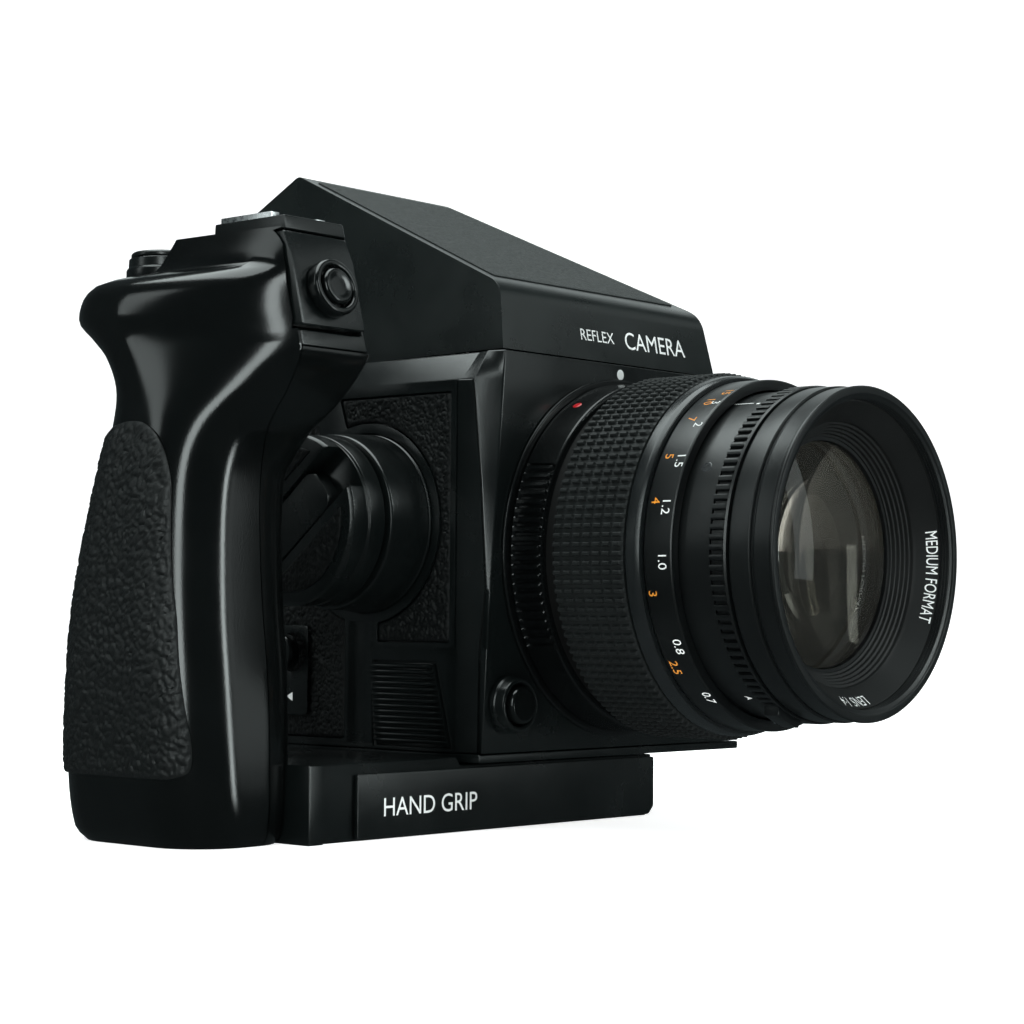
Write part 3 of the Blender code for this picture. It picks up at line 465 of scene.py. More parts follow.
def round_tool(radius, low, high, place, segments=64):
    turns = [2 * pi * i / segments for i in range(segments)]
    verts = [place @ Vector((radius * cos(t) * MM, radius * sin(t) * MM, h * MM)) for h in (low, high)
             for t in turns]
    return tool_from(verts, capped(segments))


# ---------------------------------------------------------------- leather

def resample(outline, step):
    """Points along a closed outline about a step apart."""
    result = []
    for a, b in zip(outline, outline[1:] + outline[:1]):
        a, b = Vector(a), Vector(b)
        count = max(1, round((b - a).length / step))
        result += [tuple(a.lerp(b, i / count)) for i in range(count)]
    return result


def pebble(point, size, depth, seed):
    """Height of pebbled leather at a point, in mm."""
    p = Vector(point) / size + Vector((seed, seed * 1.7, 0))
    warp = noise.noise_vector(p * 0.8) * 0.35
    distances = noise.voronoi(p + warp)[0]
    edge = min((distances[1] - distances[0]) * 3.2, 1.0)
    crown = 1.0 - (1.0 - edge) ** 2
    tilt = noise.noise(p * 0.9 + Vector((7, 3, 1)))
    return depth * (crown - 1.0) + depth * 0.4 * tilt


def leather_sheet(name, outline, mapping, thickness, look, body, replaces=(), step=0.55, size=1.5,
                  depth=0.22, edge=0.8, seed=3.0):
    """A leather panel laid out flat: its grain is cut in the mesh, and it thins at its edge.

    mapping(a, b, lift) turns outline coordinates and a height into a point.
    """
    rim = resample(outline, step)
    xs, ys = [p[0] for p in rim], [p[1] for p in rim]
    tree = kdtree.KDTree(len(rim))
    for i, p in enumerate(rim):
        tree.insert((p[0], p[1], 0), i)
    tree.balance()
    inside = []
    generator = np.random.default_rng(7)
    rows = int((max(ys) - min(ys)) / step) + 1
    for row in range(rows):
        b = min(ys) + row * step
        shift = step * 0.5 * (row % 2)
        for column in range(int((max(xs) - min(xs)) / step) + 1):
            jog = generator.uniform(-0.18, 0.18, 2) * step
            a = min(xs) + column * step + shift + jog[0]
            if tree.find((a, b + jog[1], 0))[2] > step * 0.6:
                inside.append((a, b + jog[1]))
    points = [Vector(p) for p in rim + inside]
    edges = [(i, (i + 1) % len(rim)) for i in range(len(rim))]
    flat, _, faces, _, _, _ = geometry.delaunay_2d_cdt(points, edges, [], 1, 0.00001)
    verts, kept = [], [tuple(f) for f in faces]
    for p in flat:
        gap = tree.find((p.x, p.y, 0))[2]
        fade = min(gap / edge, 1.0)
        thinned = thickness - 0.45 * (1 - fade) ** 2 * thickness
        verts.append(mapping(p.x, p.y, thinned + pebble((p.x, p.y, 0), size, depth, seed) * fade))
    base, rim_count = len(verts), len(rim)
    verts += [mapping(p.x, p.y, 0.0) for p in flat[:rim_count]]
    for i in range(rim_count):
        j = (i + 1) % rim_count
        kept.append((i, j, base + j, base + i))
    kept.append(tuple(range(base + rim_count - 1, base - 1, -1)))
    return piece(name, verts, kept, look, body, replaces, sharp=60)


# ---------------------------------------------------------------- lettering

DIGIT_SHARE = 0.70  # of the font's size


def glyphs(text, height):
    """Triangles of a short text in mm, centred, with its digits of a given height."""
    curve = bpy.data.curves.new("glyphs", "FONT")
    curve.body = text
    curve.size = height / DIGIT_SHARE
    curve.align_x = "CENTER"
    curve.align_y = "CENTER"
    curve.resolution_u = 4
    holder = placed("glyphs", curve)
    bpy.context.view_layer.update()
    graph = bpy.context.evaluated_depsgraph_get()
    mesh = bpy.data.meshes.new_from_object(holder.evaluated_get(graph))
    verts = [tuple(v.co) for v in mesh.vertices]
    faces = [tuple(p.vertices) for p in mesh.polygons]
    bpy.data.objects.remove(holder)
    return verts, faces


def lettering(name, parts, look, body, mapping, depth=0.05):
    """Painted characters, standing a little proud.

    parts are (text, height, place), and mapping(place, a, b, lift) sets each point.
    """
    verts, faces = [], []
    for text, height, place in parts:
        flat, shapes = glyphs(text, height)
        ys = [p[1] for p in flat]
        middle = (min(ys) + max(ys)) / 2
        base = len(verts)
        verts += [mapping(place, a, b - middle, depth) for a, b, _ in flat]
        faces += [tuple(base + i for i in shape) for shape in shapes]
    mesh = mesh_of(name, verts, faces)
    with editing(mesh) as bm:
        bmesh.ops.remove_doubles(bm, verts=bm.verts, dist=TINY_EDGE)
        bm.normal_update()
    riding(name, mesh, look, body)


# ---------------------------------------------------------------- body

BODY_HALF, BODY_WALL = 51.6, 49.5
BODY_TOP, BODY_FLOOR = 48.6, -47.4
BODY_DEPTH = 78.0
COVER_START, COVER_TOP = 8.8, 41.3
BOSS_CLEAR_R = 24.6
RELEASE = frame_from(at(-42.0, 0, -36.0), (0, -1, 0))
CRANK = frame_from(at(0, CRANK_Y, CRANK_Z), (-1, 0, 0))
SOCKET = frame_from(at(0, CRANK_Y, 0), (0, 0, 1))  # the tripod socket and the stud in it
DIAL_Y, DIAL_Z, DIAL_TOP = 30.0, 12.0, 58.3
DIAL = frame_from(at(0, DIAL_Y, DIAL_Z), (1, 0, 0))
STRAP_LUG_Y, STRAP_LUG_Z = 69.0, 33.0
FRONT_WINDOW = [(10.3, -21.6), (34.4, -21.6), (34.4, -16.8)] \
    + arc((CRANK_Y, CRANK_Z), BOSS_CLEAR_R, 260, 73, 60)[1:] + [(48.2, 38.7), (10.3, 38.7)]
REAR_WINDOW = [(45.4, -45.6), (74.5, -45.6), (74.5, 38.7), (58.0, 38.7), (53.8, 26.8)] \
    + arc((CRANK_Y, CRANK_Z), BOSS_CLEAR_R, 50, -70, 40)[1:] + [(45.4, -16.0)]
LEFT_WINDOW = [(10.3, -45.6), (74.5, -45.6), (74.5, 38.7), (10.3, 38.7)]
COVER_SEAT = [(9.9, -46.6), (34.8, -46.6), (36.9, -25.9), (15.4, -25.9)]


def mirrored(half):
    """An outline from its left half, drawn upwards."""
    return half + [(-x, z) for x, z in reversed(half)]


def bevel_piece(obj, width, segments, angle, sharp=32):
    """Round a piece's edges after it has been cut."""
    with editing(obj.data) as bm:
        bmesh.ops.remove_doubles(bm, verts=bm.verts, dist=2.5 * WELD)
        bevelled(bm, width, segments, angle)
    smooth(obj.data, sharp)


def strap_axis(side):
    """Out of one side of the body at the strap lug, side -1 to the right and 1 to the left."""
    return frame_from(at(0, STRAP_LUG_Y, STRAP_LUG_Z), (side, 0, 0))


# Height, then where the seam between the casting and the side cover lies: half
# width, how far back, and the half width of the casting's front edge.
CASTING_SEAM = [(BODY_FLOOR, 49.5, 2.55, 51.2), (-23.0, 49.4, 2.4, 49.6), (-9.0, 49.0, 1.1, 48.5),
                (17.0, 49.4, 2.4, 46.4), (41.5, 50.1, 4.6, 44.4)]


def add_front_casting():
    levels = [row[0] for row in CASTING_SEAM] + [BODY_TOP]
    front = mirrored([(-row[3], row[0]) for row in CASTING_SEAM] + [(-43.9, BODY_TOP)])
    seam = [(-row[1], row[2]) for row in CASTING_SEAM] + [(-45.2, 4.6)]
    step = [(x + 0.9, y + 0.15) for x, y in seam]
    back = [(-50.4, 8.2)] * len(CASTING_SEAM) + [(-43.9, 8.2)]
    sections = [[(x, 0.02, z) for x, z in front]]
    for row in (seam, step, back):
        left = [(x, y, z) for (x, y), z in zip(row, levels)]
        sections.append(left + [(-x, y, z) for x, y, z in reversed(left)])
    casting = loft("front_casting_skin", sections, "satin", "camera", ["front_casting"], 0.5, 3, 18)
    cut(casting, [round_tool(37, -30, 5, LENS, 128), round_tool(5.0, -3, 5, RELEASE, 48)])
    smooth(casting.data, 30)
    turned("alignment_dot", [(0, 0.10), (1.0, 0.09), (1.32, 0.03), (1.32, -0.05), (0, -0.05)],
           frame_from(at(0, 0, 46.1), (0, -1, 0)), "white", "camera", segments=32, corner=0)


def add_main_body():
    outline = mirrored([(-BODY_WALL, BODY_FLOOR), (-BODY_WALL, COVER_TOP), (-43.5, BODY_TOP)])
    shell = plate("body_shell", outline, 8.5, BODY_DEPTH, "Y", "satin", "camera", ["main_body"], 0.7,
                  segments=3)
    chamber = [(-37, -38), (37, -38), (37, 38.5), (-37, 38.5)]
    light = [(-37, 30), (37, 30), (37, 45), (-37, 45)]
    screen = [(-38.5, 40.1), (38.5, 40.1), (38.5, 60), (-38.5, 60)]
    cut(shell, [prism_tool(chamber, 0, 90, "Y"), prism_tool(light, 13, 74.5, "Y"),
                prism_tool(screen, 12, 75.5, "Y"),
                round_tool(8, 40, 52, CRANK, 48), round_tool(5.5, -50, -42, SOCKET, 48)])
    smooth(shell.data, 30)
    lug = [(0, 58.5), (3.0, 58.5), (3.6, 58.0), (3.6, 57.0), (3.0, 56.5), (2.1, 56.2), (2.1, 50.5),
           (4.0, 50.2), (4.0, 49.0), (0, 49.0)]
    for side, name in ((-1, "right"), (1, "left")):
        turned("strap_lug_" + name, lug, strap_axis(side), "steel", "camera", segments=48, corner=0.25)


def add_base_plate():
    base = box("base_plate", (-BODY_HALF, 0.4, -49.6), (BODY_HALF, BODY_DEPTH, BODY_FLOOR - 0.25), "satin",
               "camera", ["body_base_plate"])
    cut(base, [round_tool(5.2, -60, -40, SOCKET, 48)])
    bevel_piece(base, 0.45, 3, 60)


def add_side_covers():
    outline = [(COVER_START, BODY_FLOOR), (BODY_DEPTH, BODY_FLOOR), (BODY_DEPTH, COVER_TOP),
               (COVER_START, COVER_TOP)]
    right = plate("right_side_cover", outline, -BODY_HALF + 0.05, -BODY_WALL - 0.3, "X", "satin", "camera",
                  ["side_cover_right"], 0)
    ledge = [(8.0, -46.9), (35.6, -46.9), (37.6, -22.8), (8.0, -22.8)]
    cut(right, [prism_tool(soften(window, 0.9), -60, -40, "X") for window in (FRONT_WINDOW, REAR_WINDOW)]
        + [prism_tool(COVER_SEAT, -60, -40, "X"), round_tool(22.3, 40, 60, CRANK, 128),
           prism_tool(ledge, -60, -50.75, "X")])
    bevel_piece(right, 0.35, 3, 50)
    hollow_out_strip(right)
    for side, name in ((1, "right"), (-1, "left")):
        rows = []
        for z, x, y, _ in CASTING_SEAM:
            top = min(z, COVER_TOP)
            plan = [(-51.3, 8.55), (-x, y + 0.35), (-x + 0.75, y + 0.6), (-50.4, 8.55)]
            rows.append([(a * side, b, top) for a, b in plan])
        loft(name + "_cover_lip", rows, "satin", "camera", bevel=0.32, segments=3)
    left = plate("left_side_cover", outline, BODY_WALL + 0.3, BODY_HALF - 0.05, "X", "satin", "camera",
                 ["side_cover_left"], 0)
    cut(left, [prism_tool(soften(LEFT_WINDOW, 0.9), 40, 60, "X")])
    bevel_piece(left, 0.35, 3, 50)


def hollow_out_strip(cover):
    """The strips of the cover between the leathers are hollowed like flutes."""
    radius, depth = 9.0, 1.15
    centre_x = -BODY_HALF - radius + depth
    flute = [(centre_x + radius * cos(t), 39.9 + radius * sin(t)) for t in np.linspace(0, 2 * pi, 96)[:-1]]
    cut(cover, [prism_tool(flute, -46.2, -16.5, "Z")])
    smooth(cover.data, 30)


def add_side_leathers():
    def right(a, b, lift):
        return at(-50.6 - lift, a, b)

    def left(a, b, lift):
        return at(50.6 + lift, a, b)

    def panel(name, window, mapping, node, **grain):
        return leather_sheet(name, soften(inset(window, 0.35), 0.8), mapping, 0.95, "leather", "camera",
                             [node], size=1.35, **grain)

    panel("front_leather", FRONT_WINDOW, right, "leather_right_front", step=0.3, depth=0.42)
    rear = panel("rear_leather", REAR_WINDOW, right, "leather_right_rear", step=0.3, depth=0.42, seed=9.0)
    cut(rear, [round_tool(4.3, 40, 60, strap_axis(-1), 48)])
    far = panel("left_leather", LEFT_WINDOW, left, "leather_left", step=0.55, depth=0.4, seed=5.0)
    cut(far, [round_tool(16.4, 40, 60, DIAL, 96), round_tool(4.3, 40, 60, strap_axis(1), 48)])


def add_release():
    turned("release_ring", [(5.0, 0.3), (7.0, 0.3), (7.0, 1.6), (6.7, 1.9), (6.4, 4.1), (5.9, 4.3),
                            (5.2, 4.1), (5.0, 3.6)], RELEASE, "satin", "camera", ["release_collar"], 96, 0.3)
    turned("release_cap", [(0, 5.15), (2.0, 5.25), (3.9, 5.45), (4.45, 4.9), (4.5, 2.6), (2.5, 2.6),
                           (2.5, -5.4), (0, -5.4)], RELEASE, "button", "body_release", ["release_button"],
           96, 0.4)


RIBS, RIB_PITCH, RIB_TOP = 14, 1.38, -27.2
RIB_STATIONS, RIB_AROUND = 14, 9
HATCH_OUTLINE = [(10.4, -46.3), (34.4, -46.3), (36.4, -26.4), (15.8, -26.4)]


def rib(z, base):
    """Points and faces of one rib at a height; it dips in the middle and is pinched at its ends."""
    (low_front, floor), (low_rear, _), (high_rear, top), (high_front, _) = HATCH_OUTLINE
    share = (top - z) / (top - floor)
    front = high_front + (low_front - high_front) * share + 0.15
    rear = high_rear + (low_rear - high_rear) * share + 0.2
    verts, faces = [], []
    for s in range(RIB_STATIONS):
        t = s / (RIB_STATIONS - 1)
        y = front + (rear - front) * t
        hollow = 0.95 - 0.75 * (1 - (2 * t - 1) ** 2)
        swell = min(1.0, (min(t, 1 - t) / 0.05) ** 0.5)
        for q in range(RIB_AROUND):
            turn = pi * q / (RIB_AROUND - 1)
            out = -BODY_HALF + 0.3 - hollow - 0.72 * sin(turn) ** 0.8 * max(swell, 0.1)
            verts.append(at(out if 0 < q < RIB_AROUND - 1 else -BODY_HALF + 0.5, y,
                            z + 0.58 * cos(turn) * max(swell, 0.35)))
    for s in range(RIB_STATIONS - 1):
        first = base + s * RIB_AROUND
        faces += [(a, a + 1, a + RIB_AROUND + 1, a + RIB_AROUND)
                  for a in range(first, first + RIB_AROUND - 1)]
        faces.append((first, first + RIB_AROUND, first + 2 * RIB_AROUND - 1, first + RIB_AROUND - 1))
    faces.append(tuple(range(base, base + RIB_AROUND)))
    last = base + (RIB_STATIONS - 1) * RIB_AROUND
    faces.append(tuple(range(last, last + RIB_AROUND)))
    return verts, faces


def add_ribbed_cover():
    plate("ribbed_cover_back", inset(HATCH_OUTLINE, 0.1), -BODY_HALF + 0.2, -BODY_WALL - 0.35, "X", "satin",
          "side_hatch", ["ribbed_cover"], 0.15)
    verts, faces = [], []
    for k in range(RIBS):
        points, skin = rib(RIB_TOP - k * RIB_PITCH, len(verts))
        verts += points
        faces += skin
    piece("cover_ribs", verts, faces, "satin", "side_hatch", sharp=40)


def add_catch_and_dial():
    outline = soften([(57.7, -40.1), (69.3, -40.1), (69.3, -17.7), (57.7, -17.7)], 1.2, steps=4)
    trim = plate("catch_trim", outline, -52.45, -51.95, "X", "satin", "camera", ["catch_plate"], 0)
    place = frame_from(at(0, 63.5, -24.5), (-1, 0, 0))
    cut(trim, [round_tool(4.9, 40, 60, place, 64)])
    bevel_piece(trim, 0.15, 2, 50)
    turned("catch_cap", [(0, 56.7), (2.6, 56.8), (4.1, 57.15), (4.55, 56.7), (4.6, 54.1), (0, 54.1)], place,
           "button", "catch", ["catch_button"], 64, 0.3)
    arrow = [(65.2, -35.6), (63.0, -36.7), (63.0, -34.5)]
    plate("catch_arrow", arrow, -52.52, -52.4, "X", "white", "camera", bevel=0)
    teeth = 60
    heights = [52.15, 52.6, 53.0, 56.9, 57.6, DIAL_TOP]
    angles, radii = [], []
    for i in range(teeth):
        for o in (0.0, 0.25, 0.4, 0.5, 0.85, 0.95):
            crest = 15.55 if 0.45 < o < 0.9 else 15.05
            angles.append(360 * (i + o) / teeth)
            radii.append([15.0, 15.1, crest, crest, min(crest, 15.2), 14.4])

    def around(r, angle, h):
        return DIAL @ Vector((r * cos(radians(angle)) * MM, r * sin(radians(angle)) * MM, h * MM))

    ring_field("dial_rim", heights, angles, radii, 0, "anodised", "speed", ["speed_dial"], around)
    values = ["B", "1", "2", "4", "8", "15", "30", "60", "125", "250", "500"]

    def on_dial(turn, a, b, lift):
        out, angle = 12.2 + b, radians(turn)
        return at(DIAL_TOP + lift, DIAL_Y + out * cos(angle) + a * sin(angle),
                  DIAL_Z + out * sin(angle) - a * cos(angle))

    lettering("dial_numbers", [(v, 2.0, 90 - 29 * i) for i, v in enumerate(values)], "white", "speed",
              on_dial)


# ---------------------------------------------------------------- crank

def crank_plane(along, across):
    """(Y, Z) of a point in the drum's face: along the handle's slot, and across it."""
    turn = pi - SLOT_ANGLE
    return (CRANK_Y + along * cos(turn) - across * sin(turn),
            CRANK_Z + along * sin(turn) + across * cos(turn))


def add_crank():
    turned("crank_base", [(4.6, 49.8), (21.9, 49.8), (21.9, 51.6), (21.55, 51.9), (21.55, 52.2), (21.8, 52.4),
                          (21.25, 63.9), (20.9, 64.4), (4.6, 64.4)], CRANK, "satin", "camera", ["crank_boss"],
           160, 0.25)
    drum = turned("crank_knob", [(0, 77), (19.8, 77), (20.6, 76.2), (20.6, 72.0), (20.0, 71.7), (20.0, 71.0),
                                 (20.6, 70.7), (20.6, 66.0), (19.8, 65.2), (4.0, 65.2), (4.0, 44.6),
                                 (0, 44.6)],
                  CRANK, "satin", "crank", ["crank_drum"], 160, 0.25)
    slot = [crank_plane(a, b) for a, b in [(-17.4, -6.1), (22.0, -6.1), (22.0, 6.1), (-17.4, 6.1)]]
    cut(drum, [prism_tool(slot, -80, -72.2, "X")])
    bevel_piece(drum, 0.18, 2, 45)
    handle = [crank_plane(a, b) for a, b in
              [(-15.8, -5.2), (10.5, -5.5), (12.9, -3.6), (12.9, 3.6), (10.5, 5.5), (-15.8, 5.2)]]
    plate("folding_handle", soften(handle, 1.6, steps=5), -76.5, -72.4, "X", "satin", "handle",
          ["crank_handle"], 0.45, segments=3)
    for label, start, seed in (("upper", 30, 2.0), ("lower", 210, 6.0)):
        outline = [crank_plane(a, b) for a, b in arc((0, 0), 17.3, start, start + 120, 50)]
        leather_sheet("inlay_" + label, soften(outline, 0.5), lambda a, b, lift: at(-77.08 - lift, a, b),
                      0.62,
                      "leather", "crank", ["crank_inlay_" + label], step=0.3, size=1.2, depth=0.34, seed=seed)


# ---------------------------------------------------------------- finder

FINDER_FLOOR = BODY_TOP + 0.6
FINDER_FRONT = 2.0
ROOF_FRONT, ROOF_PEAK = (5.0, 65.4), (88.0, 102.8)  # Y and Z of the roof's two ends
FINDER_LIP = soften([(FINDER_FRONT, FINDER_FLOOR), ROOF_FRONT, ROOF_PEAK], 4.0, False, 7)
FINDER_PEAK = soften([ROOF_FRONT, ROOF_PEAK, (106.0, 94.0)], 1.4, False, 5)[1:-1]
FINDER_PROFILE = FINDER_LIP[:-1] + FINDER_PEAK + [(106.0, 94.0), (121.0, 86.0), (121.0, 62.0),
                                                  (100.0, 54.0), (80.0, FINDER_FLOOR)]
FINDER_CAVITY = [(6.0, 40.0), (8.5, 62.0), (87.0, 98.0), (104.0, 89.5), (112.0, 84.0), (112.0, 66.0),
                 (98.0, 58.0), (76.0, 52.0), (76.0, 40.0)]
ROOF_SLOPE = atan2(ROOF_PEAK[1] - ROOF_FRONT[1], ROOF_PEAK[0] - ROOF_FRONT[0])
ROOF_LENGTH = hypot(83.0, 37.4)
EYEPIECE = frame_from(at(0, 0, 74), (0, -1, 0))


def finder_half(y, z):
    """Half the finder's width, which narrows upwards and backwards."""
    return 42.4 - 0.117 * (z - 49.3) - 0.084 * (y - 2)


def finder_skin(profile, grow):
    return [[(side * (finder_half(y, z) + grow), y, z) for y, z in profile] for side in (-1, 1)]


def roof_point(along, across, lift):
    y = ROOF_FRONT[0] + along * cos(ROOF_SLOPE) - lift * sin(ROOF_SLOPE)
    z = ROOF_FRONT[1] + along * sin(ROOF_SLOPE) + lift * cos(ROOF_SLOPE)
    return at(across, y, z)


def add_finder():
    housing = loft("finder_housing", finder_skin(FINDER_PROFILE, 0), "finder", "camera", ["prism_housing"], 0)
    cavity = [at(*p) for side in finder_skin(FINDER_CAVITY, -3.4) for p in side]
    cut(housing, [tool_from(cavity, capped(len(FINDER_CAVITY))), round_tool(9.0, -130, -100, EYEPIECE, 96)])
    bevel_piece(housing, 1.15, 4, 18, 25)
    outline = []
    for along, side in ((6.5, -1), (ROOF_LENGTH - 4.5, -1), (ROOF_LENGTH - 4.5, 1), (6.5, 1)):
        point = roof_point(along, 0, 0)
        y, z = point.y / MM + FRONT_TO_ORIGIN, point.z / MM - AXIS_HEIGHT
        outline.append((along, side * (finder_half(y, z) - 3.4)))
    # the roof leather takes the lighter roof look, a painted sheen
    leather_sheet("finder_roof_leather", soften(outline, 1.5, steps=5),
                  lambda a, b, lift: roof_point(a, b, 0.02 + lift), 0.5, "roof", "camera", ["roof_leather"],
                  step=0.62, size=1.15, depth=0.2, edge=1.0)
    screw = frame_from(at(-finder_half(23.5, 52.4), 23.5, 52.4), (-1, 0, 0.117))
    turned("finder_screw", [(0, -0.1), (1.0, -0.05), (1.15, -0.3), (1.15, -0.6), (0, -0.6)], screw,
           "anodised", "camera", segments=32, corner=0.05)
    turned("eyepiece_cup", [(10.6, -121.3), (14.9, -121.3), (14.9, -123.6), (13.4, -125.1), (11.0, -125.1),
                            (10.6, -124.6)], EYEPIECE, "rubber", "camera", ["eyepiece_frame"], 96, 0.6)
    turned("eyepiece_glass", [(0, -112.6), (8.6, -113.6), (8.6, -118.9), (0, -117.6)], EYEPIECE, "clear",
           "camera", ["eyepiece_lens"], 96, 0.0)

    def on_front(start, a, b, lift):
        z = start[1] + b
        lean = (z - FINDER_FLOOR) * (ROOF_FRONT[0] - FINDER_FRONT) / (ROOF_FRONT[1] - FINDER_FLOOR)
        return at(start[0] + a, FINDER_FRONT + lean - lift, z)

    lettering("finder_lettering", [("REFLEX", 2.9, (-5.6, 55.6)), ("CAMERA", 4.5, (18.0, 55.6))], "white",
              "camera", on_front, 0.06)


# ---------------------------------------------------------------- lens

KNURL_START, KNURL_END = 60.0, 122.0


def mount_radius(height, side, knurled):
    """The mount ring's radius; side runs from 0 in the middle of a rib to 1 between two."""
    radius = 43.4 - (height - 1.3) * 0.045
    if height < 1.6:
        radius -= 0.35
    if height > 10.3:
        radius -= (height - 10.3) * 1.1
    if height > 10.9:
        radius = 41.35
    if knurled and 2.2 < height < 10.3:
        reach = 0.62 if height < 9.0 else 0.62 * max(1 - ((height - 9.0) / 1.05) ** 2, 0) ** 0.5
        rise = 1.0 if side < reach - 0.22 else max(0.0, 1 - (side - reach + 0.22) / 0.3)
        radius -= 0.75 * (1 - min(rise, 1.0))
    return radius


def outward(angle, radius, ahead):
    """A matrix that points out of the lens at a place on it."""
    return frame_from(lens_point(radius, angle, ahead), lens_point(1, angle, 0) - lens_point(0, angle, 0))


def add_mount_ring():
    turned("flange", [(38.2, 0.3), (44.8, 0.3), (44.8, 0.7), (44.4, 1.0), (38.2, 1.0)], LENS, "ring",
           "camera", ["lens_flange"], 192, 0.1)
    ribs = 120
    heights = [1.35, 1.9, 2.3, 2.6, 3.2, 6.0, 8.6, 9.2, 9.6, 9.85, 10.05, 10.2, 10.5, 10.66, 10.94]
    angles, radii = [], []
    for i in range(ribs):
        for o in (0.0, 0.12, 0.22, 0.32, 0.44, 0.58, 0.7, 0.8, 0.9):
            angle = 360 * (i + o) / ribs
            knurled = KNURL_START < angle < KNURL_END
            angles.append(angle)
            radii.append([mount_radius(h, abs(o - 0.5) * 2, knurled) for h in heights])
    ring_field("mount_ring", heights, angles, radii, 38.8, "ring", "camera", ["lens_mount_ring"])
    turned("mount_sleeve", [(36.4, 2.5), (38.8, 2.5), (38.8, 39.0), (36.4, 39.0)], LENS, "matt", "camera",
           segments=128)
    # the barrel between the mount ring and the focus ring, flush and in the darkest matt black: painted shade
    # for the gap between them
    turned("mount_gap_painted_shade", [(38.9, 10.6), (41.3, 10.6), (41.3, 14.6), (38.9, 14.6)], LENS, "matt", "camera",
           segments=128)
    turned("mount_bayonet", [(34.0, 0.5), (34.0, -5.0), (35.8, -5.0), (35.8, 2.4), (34.0, 2.4)], LENS,
           "steel", "camera", segments=128)
    turned("mount_dot", [(0, 0.22), (0.9, 0.15), (1.2, 0.02), (1.2, -0.2), (0, -0.2)],
           outward(32.5, 43.2, 5.2), "red", "camera", segments=32, corner=0.1)


def add_focus_ring():
    turned("focus_sleeve", [(39.3, 15.0), (42.9, 15.0), (43.4, 15.1), (43.4, 15.6), (42.5, 15.9),
                            (42.5, 35.9),
                            (43.1, 36.2), (43.45, 36.5), (43.3, 38.9), (42.7, 40.0), (39.3, 40.0)], LENS,
           "band", "focus", ["focus_ring"], 192, 0.18)
    rows, bricks = 126, 7
    back, front = 15.2, 35.75
    pitch = (front - back) / bricks
    crowns = [0.0, 0.0, 0.0, 0.34, 0.5, 0.5, 0.34]
    offsets = [0.0, 0.22, 0.44, 0.50, 0.60, 0.84, 0.94]
    heights = [back]
    for k in range(bricks):
        start = back + pitch * k
        heights += [start + 0.24, start + 0.42, start + pitch * 0.5, start + pitch - 0.64,
                    start + pitch - 0.44]
        if k < bricks - 1:
            heights.append(start + pitch - 0.1)
    heights += [front]

    def radius(height, crown):
        inside = (height - back) % pitch
        rise = crown
        if crown and (inside < 0.3 or inside > pitch - 0.5) and height > back + 0.1:
            rise = 0.06
        if height > front - 0.6:
            rise = crown * max(0.0, (front - height) / 0.6)
        return 43.5 + rise * 1.55 - (0.2 if height in (back, front) else 0)

    angles, radii = [], []
    for i in range(rows):
        for o, crown in zip(offsets, crowns):
            angles.append(360 * (i + o) / rows)
            radii.append([radius(h, crown) for h in heights])
    ring_field("focus_grip", heights, angles, radii, 42.6, "rubber", "focus", ["focus_rubber"], sharp=25)


def round_lens(radius):
    """A mapping for lettering that runs round the lens at a radius; its places are angle and height."""
    return lambda place, a, b, lift: lens_point(radius + lift, place[0] + degrees(a / radius), place[1] + b)


def add_distance_scale():
    turned("scale_ring", [(39.3, 40.3), (41.5, 40.3), (41.9, 40.8), (41.9, 48.0), (41.6, 48.45),
                          (39.3, 48.45)],
           LENS, "lens", "focus", ["distance_scale"], 192, 0.12)

    feet = [("15", 25.9, 46.8), ("10", 32.7, 44.8), ("7", 42.7, 44.0), ("5", 58.7, 43.2), ("4", 74.2, 42.9),
            ("3", 103.4, 42.5), ("2.5", 129.3, 42.7)]
    metres = [("3", 33.6, 46.9), ("2", 45.6, 46.9), ("1.5", 60.3, 46.7), ("1.2", 76.0, 46.0),
              ("1.0", 93.2, 45.9), ("0.8", 121.2, 46.1), ("0.7", 142.8, 46.9)]
    for name, look, row in (("scale_feet", "orange", feet), ("scale_metres", "white", metres)):
        lettering(name, [(text, 2.35, (angle, ahead)) for text, angle, ahead in row], look, "focus",
                  round_lens(41.9), 0.03)


def add_barrel():
    turned("barrel_tube", [(33.6, 22.0), (20.6, 20.0), (20.6, 10.0), (36.0, 10.0), (36.0, 40.4), (38.8, 40.4),
                           (38.8, 56.8), (36.6, 56.8), (36.6, 61.9), (26.8, 61.9), (26.8, 50.0),
                           (33.6, 48.0)],
           LENS, "lens", "barrel", ["lens_barrel"], 192, 0.1)

    strip("barrel_index", 38.82, 26.3, 48.0, 53.5, 0.28)
    strip("barrel_mark", 38.82, 26.9, 54.5, 55.4, 0.7)
    lettering("barrel_letter", [("A", 1.7, (149.2, 54.3))], "white", "barrel", round_lens(38.8), 0.03)
    place = outward(60.5, 38.7, 52.3)
    screw = turned("barrel_screw", [(0, 0.16), (1.2, 0.16), (1.5, 0.0), (1.5, -0.2), (0, -0.2)], place,
                   "steel_dark", "barrel", segments=32, corner=0.05)
    arms = []
    for turn in (0.4, 0.4 + pi / 2):
        along = Vector((cos(turn), sin(turn), 0))
        across = Vector((-sin(turn), cos(turn), 0))
        corners = [along + across * 0.2, -along + across * 0.2, -along - across * 0.2, along - across * 0.2]
        verts = [place @ ((c + Vector((0, 0, h))) * MM) for h in (0.03, 0.5) for c in corners]
        arms.append(tool_from(verts, capped(4)))
    cut(screw, arms)


